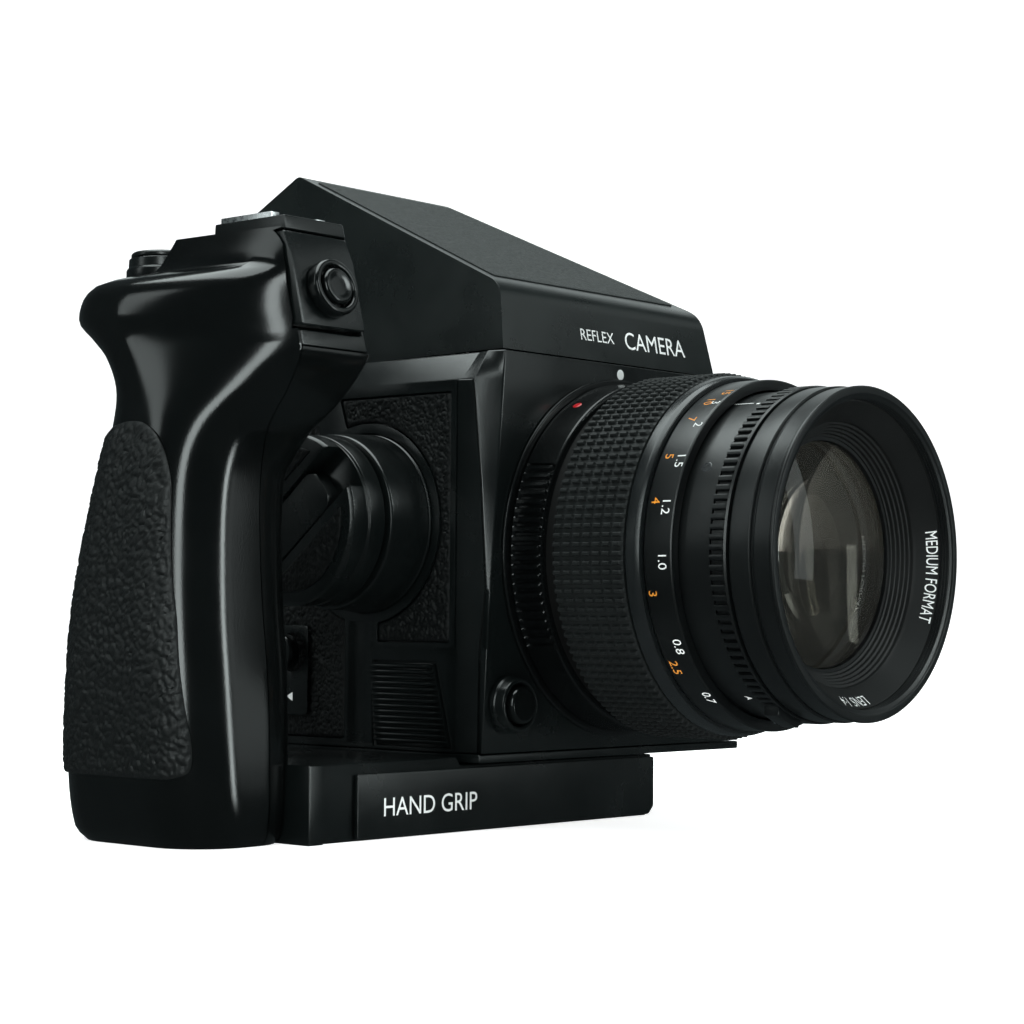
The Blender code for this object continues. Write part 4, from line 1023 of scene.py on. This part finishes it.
def strip(name, radius, angle, start, end, width):
    """A thin painted mark along the barrel."""
    half = degrees(width / 2 / radius)
    verts = [lens_point(radius, angle + a, h) for h in (start, end) for a in (-half, half)]
    verts += [lens_point(radius - 0.1, angle + a, h) for h in (start, end) for a in (-half, half)]
    faces = [(0, 1, 3, 2), (4, 6, 7, 5), (0, 4, 5, 1), (2, 3, 7, 6), (0, 2, 6, 4), (1, 5, 7, 3)]
    piece(name, verts, faces, "white", "barrel")


def aperture_radius(height, station):
    """The aperture ring's radius; stations 0 to 2 are in a slot, 3 and 6 on a tooth's edges."""
    radius = 39.7
    if height < 57.2:
        radius -= 0.25
    if height > 61.5:
        radius -= 0.3
    if station < 3 and height < 60.6:
        radius -= 0.95
    elif station in (3, 6) and height < 60.9:
        radius -= 0.1
    elif station < 3 and height < 61.1:
        radius -= 0.5 if station != 1 else 0.75
    return radius


def add_aperture_ring():
    teeth = 108
    heights = [57.15, 57.3, 57.6, 58.8, 60.0, 60.5, 60.8, 61.0, 61.3, 61.75]
    angles, radii = [], []
    for i in range(teeth):
        for n, o in enumerate([0.0, 0.18, 0.36, 0.42, 0.52, 0.84, 0.94]):
            angles.append(360 * (i + o) / teeth)
            radii.append([aperture_radius(h, n) for h in heights])
    ring_field("aperture_grip", heights, angles, radii, 37.0, "lens", "aperture", ["aperture_ring"], sharp=25)
    start, end = 152.0, 167.0
    outline = []
    for radius, first, last in ((39.3, start, end), (41.6, end - 1.5, start + 1.5)):
        outline += [(radius, first + (last - first) * k / 8) for k in range(9)]
    verts = [lens_point(r, a, h) for h in (57.5, 61.5) for r, a in outline]
    tab = piece("aperture_lever", verts, capped(len(outline)), "lens", "aperture")
    bevel_piece(tab, 0.3, 2, 40)
    place = frame_from(lens_point(41.0, 160.0, 57.4), (0, 1, 0))
    turned("aperture_pin", [(0, 0.35), (0.5, 0.3), (0.75, 0), (0.75, -0.4), (0, -0.4)], place, "steel",
           "aperture", segments=24, corner=0.05)


def add_front_barrel():
    turned("filter_rim", [(32.2, 62.3), (39.0, 62.3), (39.2, 62.7), (39.2, 67.7), (38.9, 68.0), (38.4, 68.05),
                          (38.4, 68.55), (38.7, 68.7), (38.8, 69.0), (38.8, 73.1), (39.0, 73.3), (39.0, 73.8),
                          (38.7, 74.15), (37.2, 74.15), (36.8, 73.8)]
           + [(35.95 + 0.5 * (k % 2), 73.5 - 0.38 * k) for k in range(9)]
           + [(36.3, 70.2), (36.3, 65.1), (32.2, 65.1)],
           LENS, "lens", "barrel", ["front_barrel"], 224, 0.08, 28)
    steps = []
    for k in range(6):
        radius, ahead = 31.1 - k * 0.68, 66.5 - k * 0.84
        steps += [(radius, ahead), (radius - 0.08, ahead - 0.74)]
    turned("front_name_ring", [(35.9, 65.4), (35.9, 71.3), (35.5, 71.3), (31.6, 67.1)] + steps
           + [(26.9, 61.2), (26.9, 60.5), (28.2, 60.5), (31.6, 64.4), (31.6, 65.4)], LENS, "matt_ring",
           "barrel", ["name_ring"], 224, 0.05, 25)

    def on_ring(place, a, b, lift):
        radius = 34.2 + b
        return lens_point(radius, place - degrees(a / 34.2), 67.1 + (radius - 31.6) * 1.077 + lift)

    lettering("ring_lettering", [("LENS 1:4", 2.0, 180.0), ("MEDIUM FORMAT", 2.0, 262.0)], "white",
              "barrel", on_ring, 0.03)


def add_glass():
    dome = [(26.6 * s, 61.0 + 3.8 * (1 - s * s)) for s in np.linspace(0, 1, 12)]
    back = [(26.6 * s, 55.5 - 2.5 * (1 - s * s)) for s in np.linspace(1, 0, 9)]
    turned("front_glass", dome + back, LENS, "coated", "barrel", ["front_element"], 160, 0)
    turned("front_cell", [(22.0, 50.2), (26.7, 52.0), (26.7, 50.2), (24.5, 48.2), (22.8, 47.6), (21.0, 45.5),
                          (19.8, 45.0), (19.8, 42.0), (18.6, 42.0), (18.6, 45.6)], LENS, "matt_ring",
                          "barrel",
           segments=128, corner=0.1)
    turned("inner_glass", [(19.5 * s, 46.0 - 3.0 * (1 - s * s)) for s in np.linspace(0, 1, 10)]
           + [(19.5, 42.4), (0, 41.6)], LENS, "coated", "barrel", segments=128, corner=0)


# ---------------------------------------------------------------- grip

# Height, inner X, outer X, front Y, rear Y, corner radius, then the front outer
# corner's reach across and back, and how round it is between chord and arc.
GRIP_STATIONS = [
    (-65.7, -99.0, -129.6, 11.0, 55.5, 13.0, 13.0, 13.0, 1.0),
    (-63.0, -97.5, -131.6, 9.2, 58.0, 14.0, 14.0, 14.0, 1.0),
    (-50.0, -97.0, -133.4, 8.8, 58.7, 14.0, 14.0, 14.0, 1.0),
    (-30.0, -96.5, -134.5, 9.8, 57.2, 14.0, 14.0, 14.0, 1.0),
    (-10.0, -96.0, -134.0, 12.2, 55.4, 14.0, 14.0, 14.0, 1.0),
    (10.0, -95.5, -133.0, 13.2, 51.2, 14.0, 14.0, 14.0, 1.0),
    (20.0, -95.0, -131.8, 12.4, 49.2, 13.5, 14.5, 14.0, 1.0),
    (27.0, -94.0, -130.4, 10.3, 47.6, 12.5, 16.0, 18.0, 0.95),
    (35.0, -91.5, -129.0, 4.2, 46.8, 10.0, 17.6, 28.0, 0.8),
    (42.5, -89.0, -128.2, 0.3, 50.8, 9.0, 17.0, 36.0, 0.6),
    (47.0, -88.5, -128.2, 1.0, 57.0, 11.0, 17.0, 38.0, 0.5),
    (51.0, -88.5, -128.9, 2.1, 62.6, 13.5, 16.6, 38.0, 0.5),
    (55.5, -88.5, -128.2, 3.1, 62.6, 13.2, 15.8, 37.5, 0.5),
    (58.5, -88.5, -126.3, 3.6, 61.6, 12.5, 13.9, 37.0, 0.5),
    (60.6, -88.6, -123.0, 4.0, 60.0, 12.0, 10.8, 36.0, 0.5),
    (61.9, -88.7, -117.8, 4.4, 57.0, 11.0, 5.6, 35.0, 0.5),
    (63.2, -88.8, -115.8, 4.7, 54.5, 9.5, 3.6, 35.0, 0.5),
    (67.0, -89.2, -114.3, 5.3, 50.0, 7.0, 2.4, 34.0, 0.5),
    (70.0, -89.5, -113.4, 6.1, 48.0, 6.0, 1.8, 32.0, 0.5),
]
PLATFORM_Z = 61.8
WALL_REAR, WALL_LEAN = 43.0, 0.5
HEAD_FLOOR, HEAD_TOP, HEAD_REAR = 43.6, 72.9, 31.5
HEAD_LEAN = radians(12.5)
ARM_END, ARM_TOP, ARM_REAR = -104.0, -48.2, 60.0


def grip_station(z):
    """The grip's measures at any height, on a smooth curve through its stations."""
    heights = [s[0] for s in GRIP_STATIONS]
    z = min(max(z, heights[0]), heights[-1])
    k = max(i for i, h in enumerate(heights[:-1]) if h <= z)
    low, high = np.array(GRIP_STATIONS[k]), np.array(GRIP_STATIONS[k + 1])
    before = np.array(GRIP_STATIONS[max(k - 1, 0)])
    after = np.array(GRIP_STATIONS[min(k + 2, len(heights) - 1)])
    span = high[0] - low[0]
    t = (z - low[0]) / span
    in_slope = (high - before) / max(high[0] - before[0], 1) * span
    out_slope = (after - low) / max(after[0] - low[0], 1) * span
    t2, t3 = t * t, t ** 3
    mid = ((2 * t3 - 3 * t2 + 1) * low + (t3 - 2 * t2 + t) * in_slope + (3 * t2 - 2 * t3) * high
           + (t3 - t2) * out_slope)
    mid[0] = z
    return mid


def run(start, end, count):
    """Points between two points, without the ends."""
    return [tuple(Vector(start).lerp(Vector(end), i / count)) for i in range(1, count)]


def grip_section(z, shrink=0.0):
    """The grip's outline at one height: rounded behind, cut back from the head's outer edge."""
    _, inner, outer, front, rear, radius, across, back, roundness = grip_station(z)
    x1, x0, y0, y1 = inner - shrink, outer + shrink, front + shrink, rear - shrink
    fore = min(max(1.6 + (30 - z) * 0.9, 1.6), radius)
    fore = max(fore - shrink, 0.8)
    round_r = max(radius - shrink, 0.8)
    inside = arc((x1 - fore, y0 + fore), fore, -90, 0, 12)
    behind = arc((x1 - round_r, y1 - round_r), round_r, 0, 90, 14)
    outside = arc((x0 + round_r, y1 - round_r), round_r, 90, 180, 14)
    across, back = max(across - shrink, 0.8), max(back - shrink, 0.8)
    corner = []
    for i in range(22):
        share = i / 21
        swing = share * pi / 2
        bow = Vector((x0 + across * (1 - cos(swing)), y0 + back * (1 - sin(swing))))
        chord = Vector((x0 + across * share, y0 + back * (1 - share)))
        corner.append(tuple(chord.lerp(bow, roundness)))
    points = inside + run(inside[-1], behind[0], 12) + behind + run(behind[-1], outside[0], 6) + outside
    points += run(outside[-1], corner[0], 10) + corner + run(corner[-1], inside[0], 8)
    return [(x, y, z) for x, y in points]


def grip_levels(low, high, step=1.5):
    count = max(2, round((high - low) / step))
    return [low + (high - low) * i / count for i in range(count + 1)]


def grip_skin(low, high, shrink=0.0):
    sections = [grip_section(z, shrink) for z in grip_levels(low, high)]
    count = len(sections[0])
    verts = [at(*p) for s in sections for p in s]
    faces = [tuple(range(count)), tuple(range(len(verts) - count, len(verts)))]
    for k in range(len(sections) - 1):
        for i in range(count):
            j = (i + 1) % count
            faces.append((k * count + i, k * count + j, (k + 1) * count + j, (k + 1) * count + i))
    return verts, faces


HEAD_PIVOT = at(-98, 1.5, 46)


def tilted(tool):
    """A cutting tool leaned back as the grip's head is."""
    lean = Matrix.Rotation(-HEAD_LEAN, 4, "X")
    tool.data.transform(Matrix.Translation(HEAD_PIVOT) @ lean @ Matrix.Translation(-HEAD_PIVOT))
    return tool


LEVER_X, LEVER_Y = -106.0, 51.3
LEVER = frame_from(at(LEVER_X, LEVER_Y, 0), (0, 0, 1))


def add_grip_shells():
    verts, faces = grip_skin(-65.7, 70.0)
    outer = piece("grip_outer", verts, faces, "gloss", "camera", ["grip_shell_outer"])
    inner = piece("grip_inner", verts, faces, "gloss", "camera", ["grip_shell_inner"])
    hollow = grip_skin(-63.0, 57.0, 2.6)
    wall_back = [(WALL_REAR, PLATFORM_Z), (120, PLATFORM_Z), (120, 90), (WALL_REAR - 20, 90),
                 (WALL_REAR - 20 * WALL_LEAN, PLATFORM_Z + 20)]
    cut(outer, [block_tool((-200, -60, -100), (SEAM_X - 0.15, 120, 120))], "INTERSECT")
    cut(outer, [tool_from(*hollow), prism_tool(wall_back, -160, -60, "X"),
                tilted(block_tool((-112.0, -6, 47.0), (-100, 4.4, 70.2)))])
    cut(inner, [block_tool((SEAM_X + 0.15, -60, -100), (0, 120, 120))], "INTERSECT")
    cut(inner, [tool_from(*hollow), block_tool((-160, HEAD_REAR, PLATFORM_Z), (-60, 120, 90)),
                block_tool((ARM_END - 0.5, 2.7, -80), (-60, 60.4, ARM_TOP + 0.3)),
                round_tool(3.4, 40, 80, LEVER, 48),
                block_tool((-120, -20, HEAD_FLOOR - 0.3), (-60, HEAD_REAR + 0.3, 90))])
    for shell in (outer, inner):
        smooth(shell.data, 34)


TRIGGER = frame_from(at(-102.0, 1.1, 56.3), (0, -cos(radians(14.6)), sin(radians(14.6))))


def head_face(z):
    return 1.0 + (z - 47.0) * tan(HEAD_LEAN)


def add_grip_head():
    sections = []
    for z, inner in ((HEAD_FLOOR, -88.6), (HEAD_TOP, -90.6)):
        rear = HEAD_REAR if z == HEAD_FLOOR else HEAD_REAR - 2.0
        face = head_face(z)
        sections.append([(SEAM_X + 0.15, face, z), (inner - 1.6, face, z), (inner, face + 1.6, z),
                         (inner, rear, z), (SEAM_X + 0.15, rear, z)])
    head = loft("grip_head_frame", sections, "satin", "camera", ["grip_head"], 0)
    cut(head, [block_tool((-109.2, 9.0, 70.0), (-91.6, 60, 90)),
               tilted(block_tool((-120, -6, 47.0), (-91.4, 4.4, 70.2))),
               round_tool(3.6, -16, 8, TRIGGER, 64)])
    bevel_piece(head, 0.45, 3, 30)
    side = [(3.8, 47.9), (-1.0, 48.0), (3.0, 63.8), (5.6, 69.2), (8.4, 69.2)]
    insert = loft("head_insert", [[(-111.4, y, z) for y, z in side], [(-92.2, y, z) for y, z in side]],
                  "satin", "camera", ["release_insert"], 0)
    cut(insert, [round_tool(3.6, -10, 12, TRIGGER, 64)])
    bevel_piece(insert, 0.5, 3, 20)
    turned("head_collar", [(4.8, 0.4), (6.5, 0.4), (6.5, 2.9), (6.1, 3.4), (5.2, 3.4), (4.8, 3.0)], TRIGGER,
           "button", "camera", ["grip_collar"], 96, 0.3)
    turned("head_button", [(0, 3.55), (2.2, 3.7), (3.6, 4.0), (4.2, 3.5), (4.2, 2.4), (2.9, 2.4),
                           (2.9, -10.8), (0, -10.8)], TRIGGER, "button", "trigger", ["grip_button"], 96, 0.35)
    rail = [(-9.0, 0), (9.0, 0), (9.0, 4.1), (6.2, 4.1), (6.2, 2.8), (7.8, 2.8), (7.8, 0.9), (-7.8, 0.9),
            (-7.8, 2.8), (-6.2, 2.8), (-6.2, 4.1), (-9.0, 4.1)]
    plate("shoe_rails", [(-100.4 + x * 0.93, 70.3 + z) for x, z in rail], 12.5, 29.0, "Y", "steel", "camera",
          ["accessory_shoe"], 0.15)


LEVER_REST = radians(28)


def add_lever():
    turned("lever_base", [(2.6, 62.1), (9.0, 62.1), (9.0, 64.6), (8.5, 65.0), (8.4, 67.2), (2.6, 67.2)],
           LEVER, "satin", "camera", ["lever_hub"], 96, 0.3)
    lever = turned("thumb_lever", [(0, 68.75), (7.4, 68.75), (7.9, 68.3), (7.9, 67.5), (2.2, 67.5),
                                   (2.2, 50.1), (0, 50.1)], LEVER, "satin", "lever", ["wind_lever"], 96, 0.2)
    reach = Vector((cos(LEVER_REST), sin(LEVER_REST)))
    across = Vector((-reach.y, reach.x))
    outline = []
    for along, side in ((5, -4.5), (24, -3.2), (32, -4.9), (34.9, -3.0), (34.9, 3.0), (32, 4.5), (24, 3.2),
                        (5, 4.5)):
        point = Vector((LEVER_X, LEVER_Y)) + reach * along + across * side
        outline.append((point.x, point.y))
    cut(lever, [prism_tool(soften(outline, 1.4, steps=4), 67.5, 68.7, "Z")], "UNION")
    bevel_piece(lever, 0.2, 2, 50)


PAD_LOW, PAD_HIGH = -50.5, 27.0
PAD_SEAM_X = -112.4
PAD_FRONT = [(-46.0, 12.6), (-42.2, 12.8), (-16.8, 16.3), (5.0, 18.8), (14.0, 19.4), (20.0, 21.2),
             (23.5, 23.6), (25.6, 26.6)]
SKIN_STEP = 1.0


def skin_grid(low, high):
    """The outer skin unrolled: a point for each height and distance round from the rear seam."""
    levels = np.arange(low - 2, high + 3, SKIN_STEP)
    distances = np.arange(0, 84, SKIN_STEP)
    grid = np.zeros((len(levels), len(distances), 3))
    for k, z in enumerate(levels):
        points = [Vector(p[:2]) for p in grip_section(z)]
        rear = max(p.y for p in points)
        start = next(i for i, p in enumerate(points) if p.y > rear - 0.5 and p.x < PAD_SEAM_X)
        before = points[start - 1]
        share = (PAD_SEAM_X - before.x) / (points[start].x - before.x)
        walk = [before.lerp(points[start], share)] + points[start:] + points[:8]
        length = np.cumsum([0] + [(b - a).length for a, b in zip(walk, walk[1:])])
        grid[k, :, 0] = np.interp(distances, length, [p.x for p in walk])
        grid[k, :, 1] = np.interp(distances, length, [p.y for p in walk])
        grid[k, :, 2] = z
    normals = np.cross(np.gradient(grid, axis=1), np.gradient(grid, axis=0))
    normals /= np.maximum(np.linalg.norm(normals, axis=2, keepdims=True), 0.000001)
    return levels[0], grid, normals


def on_skin(skin, distance, z, lift):
    """A point on the unrolled skin, lifted off it."""
    low, grid, normals = skin
    row = min(max((z - low) / SKIN_STEP, 0), grid.shape[0] - 1.001)
    column = min(max(distance / SKIN_STEP, 0), grid.shape[1] - 1.001)
    i, j = int(row), int(column)
    u, v = row - i, column - j
    weights = ((i, j, (1 - u) * (1 - v)), (i + 1, j, u * (1 - v)), (i, j + 1, (1 - u) * v),
               (i + 1, j + 1, u * v))
    spot = sum(grid[a, b] * w for a, b, w in weights)
    normal = sum(normals[a, b] * w for a, b, w in weights)
    return at(*(spot + normal * lift))


def distance_to(skin, z, y):
    """Distance round the skin at which its outer side comes forward to Y."""
    low, grid, _ = skin
    row = grid[int(round((z - low) / SKIN_STEP))]
    for j in range(20, len(row)):
        if row[j, 1] < y:
            return (j - (y - row[j, 1]) / max(row[j - 1, 1] - row[j, 1], 0.001)) * SKIN_STEP
    return (len(row) - 2) * SKIN_STEP


def add_grip_pad():
    """Leather pad wrapped round the grip: outlined and grained flat, then laid on the skin."""
    skin = skin_grid(PAD_LOW, PAD_HIGH)
    front = [(distance_to(skin, z, y), z) for z, y in PAD_FRONT]
    crest = front[-1][0]
    top = [(crest - 3.0, 26.7), (crest - 7.0, 27.0), (crest - 13.0, 26.0), (crest - 19.0, 22.5),
           (crest - 24.0, 17.0), (3.5, 8.0), (1.0, -2.0)]
    toe = front[0][0]
    foot = [(1.0, -44.0), (2.2, -48.6), (6.0, PAD_LOW), (toe - 5.0, PAD_LOW), (toe - 0.8, -49.2)]
    outline = soften(front + top + foot, 3.0, steps=4)
    leather_sheet("grip_leather", outline, lambda a, b, lift: on_skin(skin, a, b, 0.3 + lift), 0.8, "pad",
                  "camera", ["grip_pad"], step=0.4, size=1.9, depth=0.42, edge=1.2, seed=4.0)


# ---------------------------------------------------------------- base and back

BASE_TOP, BASE_FLOOR = -50.1, -65.7


def add_base():
    outline = [(ARM_END, BASE_FLOOR), (17.0, BASE_FLOOR), (19.0, -63.7), (19.0, BASE_TOP), (-53.6, BASE_TOP),
               (-55.0, ARM_TOP), (ARM_END, ARM_TOP)]
    arm = plate("grip_arm", outline, 3.0, ARM_REAR, "Y", "satin", "camera", ["base_arm"], 0)
    cut(arm, [block_tool((-99.4, 0, -80), (30, 4.4, -40)),
              block_tool((-23.6, 14.9, -60.0), (23.6, 80, -55.0)),
              round_tool(5.2, -58, -40, SOCKET, 64)])
    bevel_piece(arm, 0.4, 3, 40)
    bar = [(-88.9, -65.3), (16.6, -65.3), (18.6, -63.3), (18.6, -50.7), (-88.9, -50.7)]
    plate("trim_bar", soften(bar, 0.7), 3.1, 4.1, "Y", "satin", "camera", ["base_bar"], 0.3, segments=3)
    lettering("grip_lettering", [("HAND GRIP", 4.2, (-65.0, -58.4))], "white", "camera",
              lambda start, a, b, lift: at(start[0] + a, 3.1 - lift, start[1] + b), 0.06)
    teeth, angles, radii = 120, [], []
    heights = [-59.6, -59.3, -58.9, -56.2, -55.7, -55.4]
    for i in range(teeth):
        for o, crest in ((0.0, 22.3), (0.4, 22.3), (0.5, 22.95), (0.9, 22.95)):
            angles.append(360 * (i + o) / teeth)
            radii.append([21.6, 22.2, crest, crest, 22.2, 21.6])

    def around(r, angle, h):
        return at(r * cos(radians(angle)), CRANK_Y + r * sin(radians(angle)), h)

    ring_field("clamp_knob", heights, angles, radii, 4.0, "anodised", "clamp", ["clamp_wheel"], around)
    turned("clamp_stud", [(0, -44.2), (4.0, -44.2), (4.5, -44.7), (4.5, -58.0), (0, -58.0)], SOCKET, "steel",
           "clamp", segments=64, corner=0.1)


def add_back():
    front, rear = BODY_DEPTH + 0.4, 119.0
    shell = box("back_shell", (-48.5, front, -46.5), (48.5, rear - 3.4, 44.5), "satin", "camera",
                ["back_housing"])
    cut(shell, [block_tool((-44.5, 87.5, -42.5), (44.5, 130, 40.5)),
                block_tool((-36, 70, -29), (36, 100, 29)),
                block_tool((-40, 80.2, -33), (60, 82.0, 33))])
    bevel_piece(shell, 1.2, 3, 50)
    lid = box("rear_lid", (-48.5, rear - 3.1, -46.5), (48.5, rear, 44.5), "satin", "film_insert",
              ["rear_cover"])
    bevel_piece(lid, 0.9, 3, 50)
    leather_sheet("rear_lid_leather", soften([(-45, -43), (45, -43), (45, 41), (-45, 41)], 2.5, steps=5),
                  lambda a, b, lift: at(a, rear + 0.02 + lift, b), 0.7, "leather", "film_insert", step=0.75,
                  size=1.3, depth=0.22, seed=8.0)
    for side, name in ((-1, "right"), (1, "left")):
        outline = soften([(84.5, -43.5), (rear - 6.5, -43.5), (rear - 6.5, 41.5), (84.5, 41.5)], 1.5, steps=4)
        leather_sheet("back_leather_" + name, outline,
                      lambda a, b, lift, side=side: at(side * (48.52 + lift), a, b), 0.6, "leather", "camera",
                      step=0.75, size=1.3, depth=0.2, seed=10.0 + side)


# ---------------------------------------------------------------- kept CAD pieces, camera, light

KEPT = {
    "focusing_screen": "clear", "pentaprism": "clear", "shutter_housing": "matt", "iris_blades": "anodised",
    "rear_element": "coated", "mirror_carrier": "matt", "reflex_mirror": "silver", "dark_slide": "steel",
    "film_drawer": "satin", "pressure_plate": "anodised", "supply_spool": "matt", "take_up_spool": "matt",
}


def finish_kept_nodes():
    for name, look in KEPT.items():
        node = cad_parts[name]
        node.data.materials.clear()
        node.data.materials.append(MATERIALS[look])


def stage_material():
    """A matt white that glows a little, so that it stays pale."""
    material, _, shader = nodes_of("studio_white")
    shader.inputs["Base Color"].default_value = (*grey(0.85), 1.0)
    shader.inputs["Roughness"].default_value = 0.9
    shader.inputs["Specular IOR Level"].default_value = 0.1
    shader.inputs["Emission Color"].default_value = (1, 1, 1, 1)
    shader.inputs["Emission Strength"].default_value = 0.8
    return material


def add_stage():
    """Pale floor that rises behind into a backdrop."""
    half, wall, bend = 6.0, 2.5, 1.2
    profile = [(-half, 0.0), (wall, 0.0)]
    profile += [(wall + bend * sin(t), bend * (1 - cos(t))) for t in np.linspace(0, pi / 2, 24)[1:]]
    profile += [(wall + bend, half)]
    heading = radians(-48.7)
    ahead = Vector((-sin(heading), cos(heading), 0))
    aside = Vector((cos(heading), sin(heading), 0))
    verts = [ahead * d + aside * s + Vector((0, 0, h)) for d, h in profile for s in (-half, half)]
    faces = [(2 * i, 2 * i + 1, 2 * i + 3, 2 * i + 2) for i in range(len(profile) - 1)]
    mesh = mesh_of("studio_floor", verts, faces)
    mesh.shade_smooth()
    mesh.materials.append(stage_material())
    floor = placed("studio_floor", mesh)
    floor.visible_glossy = False


def soft_light(name, place, target, width, height, power):
    """A rectangular soft box with its power in watts."""
    data = bpy.data.lights.new(name, "AREA")
    data.shape = "RECTANGLE"
    data.size, data.size_y = width, height
    data.energy = power
    data.color = (0.90, 1.0, 0.99)
    light = placed(name, data)
    light.location = place
    light.rotation_euler = (Vector(target) - Vector(place)).to_track_quat("-Z", "Y").to_euler()
    return light


def add_lights():
    world = bpy.data.worlds.new("studio")
    world.use_nodes = True
    world.node_tree.nodes["Background"].inputs["Color"].default_value = (0.78, 0.97, 1.0, 1)
    world.node_tree.nodes["Background"].inputs["Strength"].default_value = 0.055
    bpy.context.scene.world = world
    soft_light("top_box", (-0.1, 0.1, 1.5), (0, 0, 0), 1.5, 1.5, 30)
    soft_light("side_box", (-1.35, 0.85, 0.8), (-0.1, 0, 0.06), 0.4, 1.0, 2.2)
    soft_light("left_box", (-1.43, -0.92, 0.5), (-0.1, 0, 0.06), 0.34, 1.1, 8)
    soft_light("front_box", (0.58, -1.3, 0.42), (-0.1, 0, 0.06), 0.2, 1.2, 7)
    soft_light("grip_card", (0.95, -1.2, 0.35), (-0.1, 0, 0.06), 0.22, 0.8, 0.45)
    soft_light("front_card", (1.35, -0.85, 1.05), (-0.05, 0, 0.08), 0.9, 0.6, 0.8)
    card = soft_light("rear_card", (2.0, 1.35, 1.25), (0, 0, 0.1), 2.2, 1.6, 7.5)
    card.visible_camera = False


def add_camera():
    azimuth, pitch, roll = radians(-48.706), radians(2.598), radians(0.483)
    forward = Vector((-sin(azimuth) * cos(pitch), cos(azimuth) * cos(pitch), sin(pitch)))
    level = Vector((cos(azimuth), sin(azimuth), 0))
    upright = level.cross(forward)
    right = level * cos(roll) + upright * sin(roll)
    up = upright * cos(roll) - level * sin(roll)
    data = bpy.data.cameras.new("view")
    data.sensor_width = 36.0
    data.lens = 83.30
    camera = placed("view", data)
    spot = Vector((-0.46569, -0.41149, 0.04990))
    camera.matrix_world = Matrix((
        (right.x, up.x, -forward.x, spot.x), (right.y, up.y, -forward.y, spot.y),
        (right.z, up.z, -forward.z, spot.z), (0, 0, 0, 1)))
    bpy.context.scene.camera = camera


for step in (
    add_front_casting, add_main_body, add_base_plate, add_side_covers, add_side_leathers, add_release,
    add_ribbed_cover, add_catch_and_dial, add_crank, add_finder, add_mount_ring, add_focus_ring,
    add_distance_scale, add_barrel, add_aperture_ring, add_front_barrel, add_glass, add_grip_shells,
    add_grip_head, add_lever, add_grip_pad, add_base, add_back, finish_kept_nodes, add_stage,
    add_lights, add_camera):
    step()
bpy.context.scene.view_settings.view_transform = "Standard"
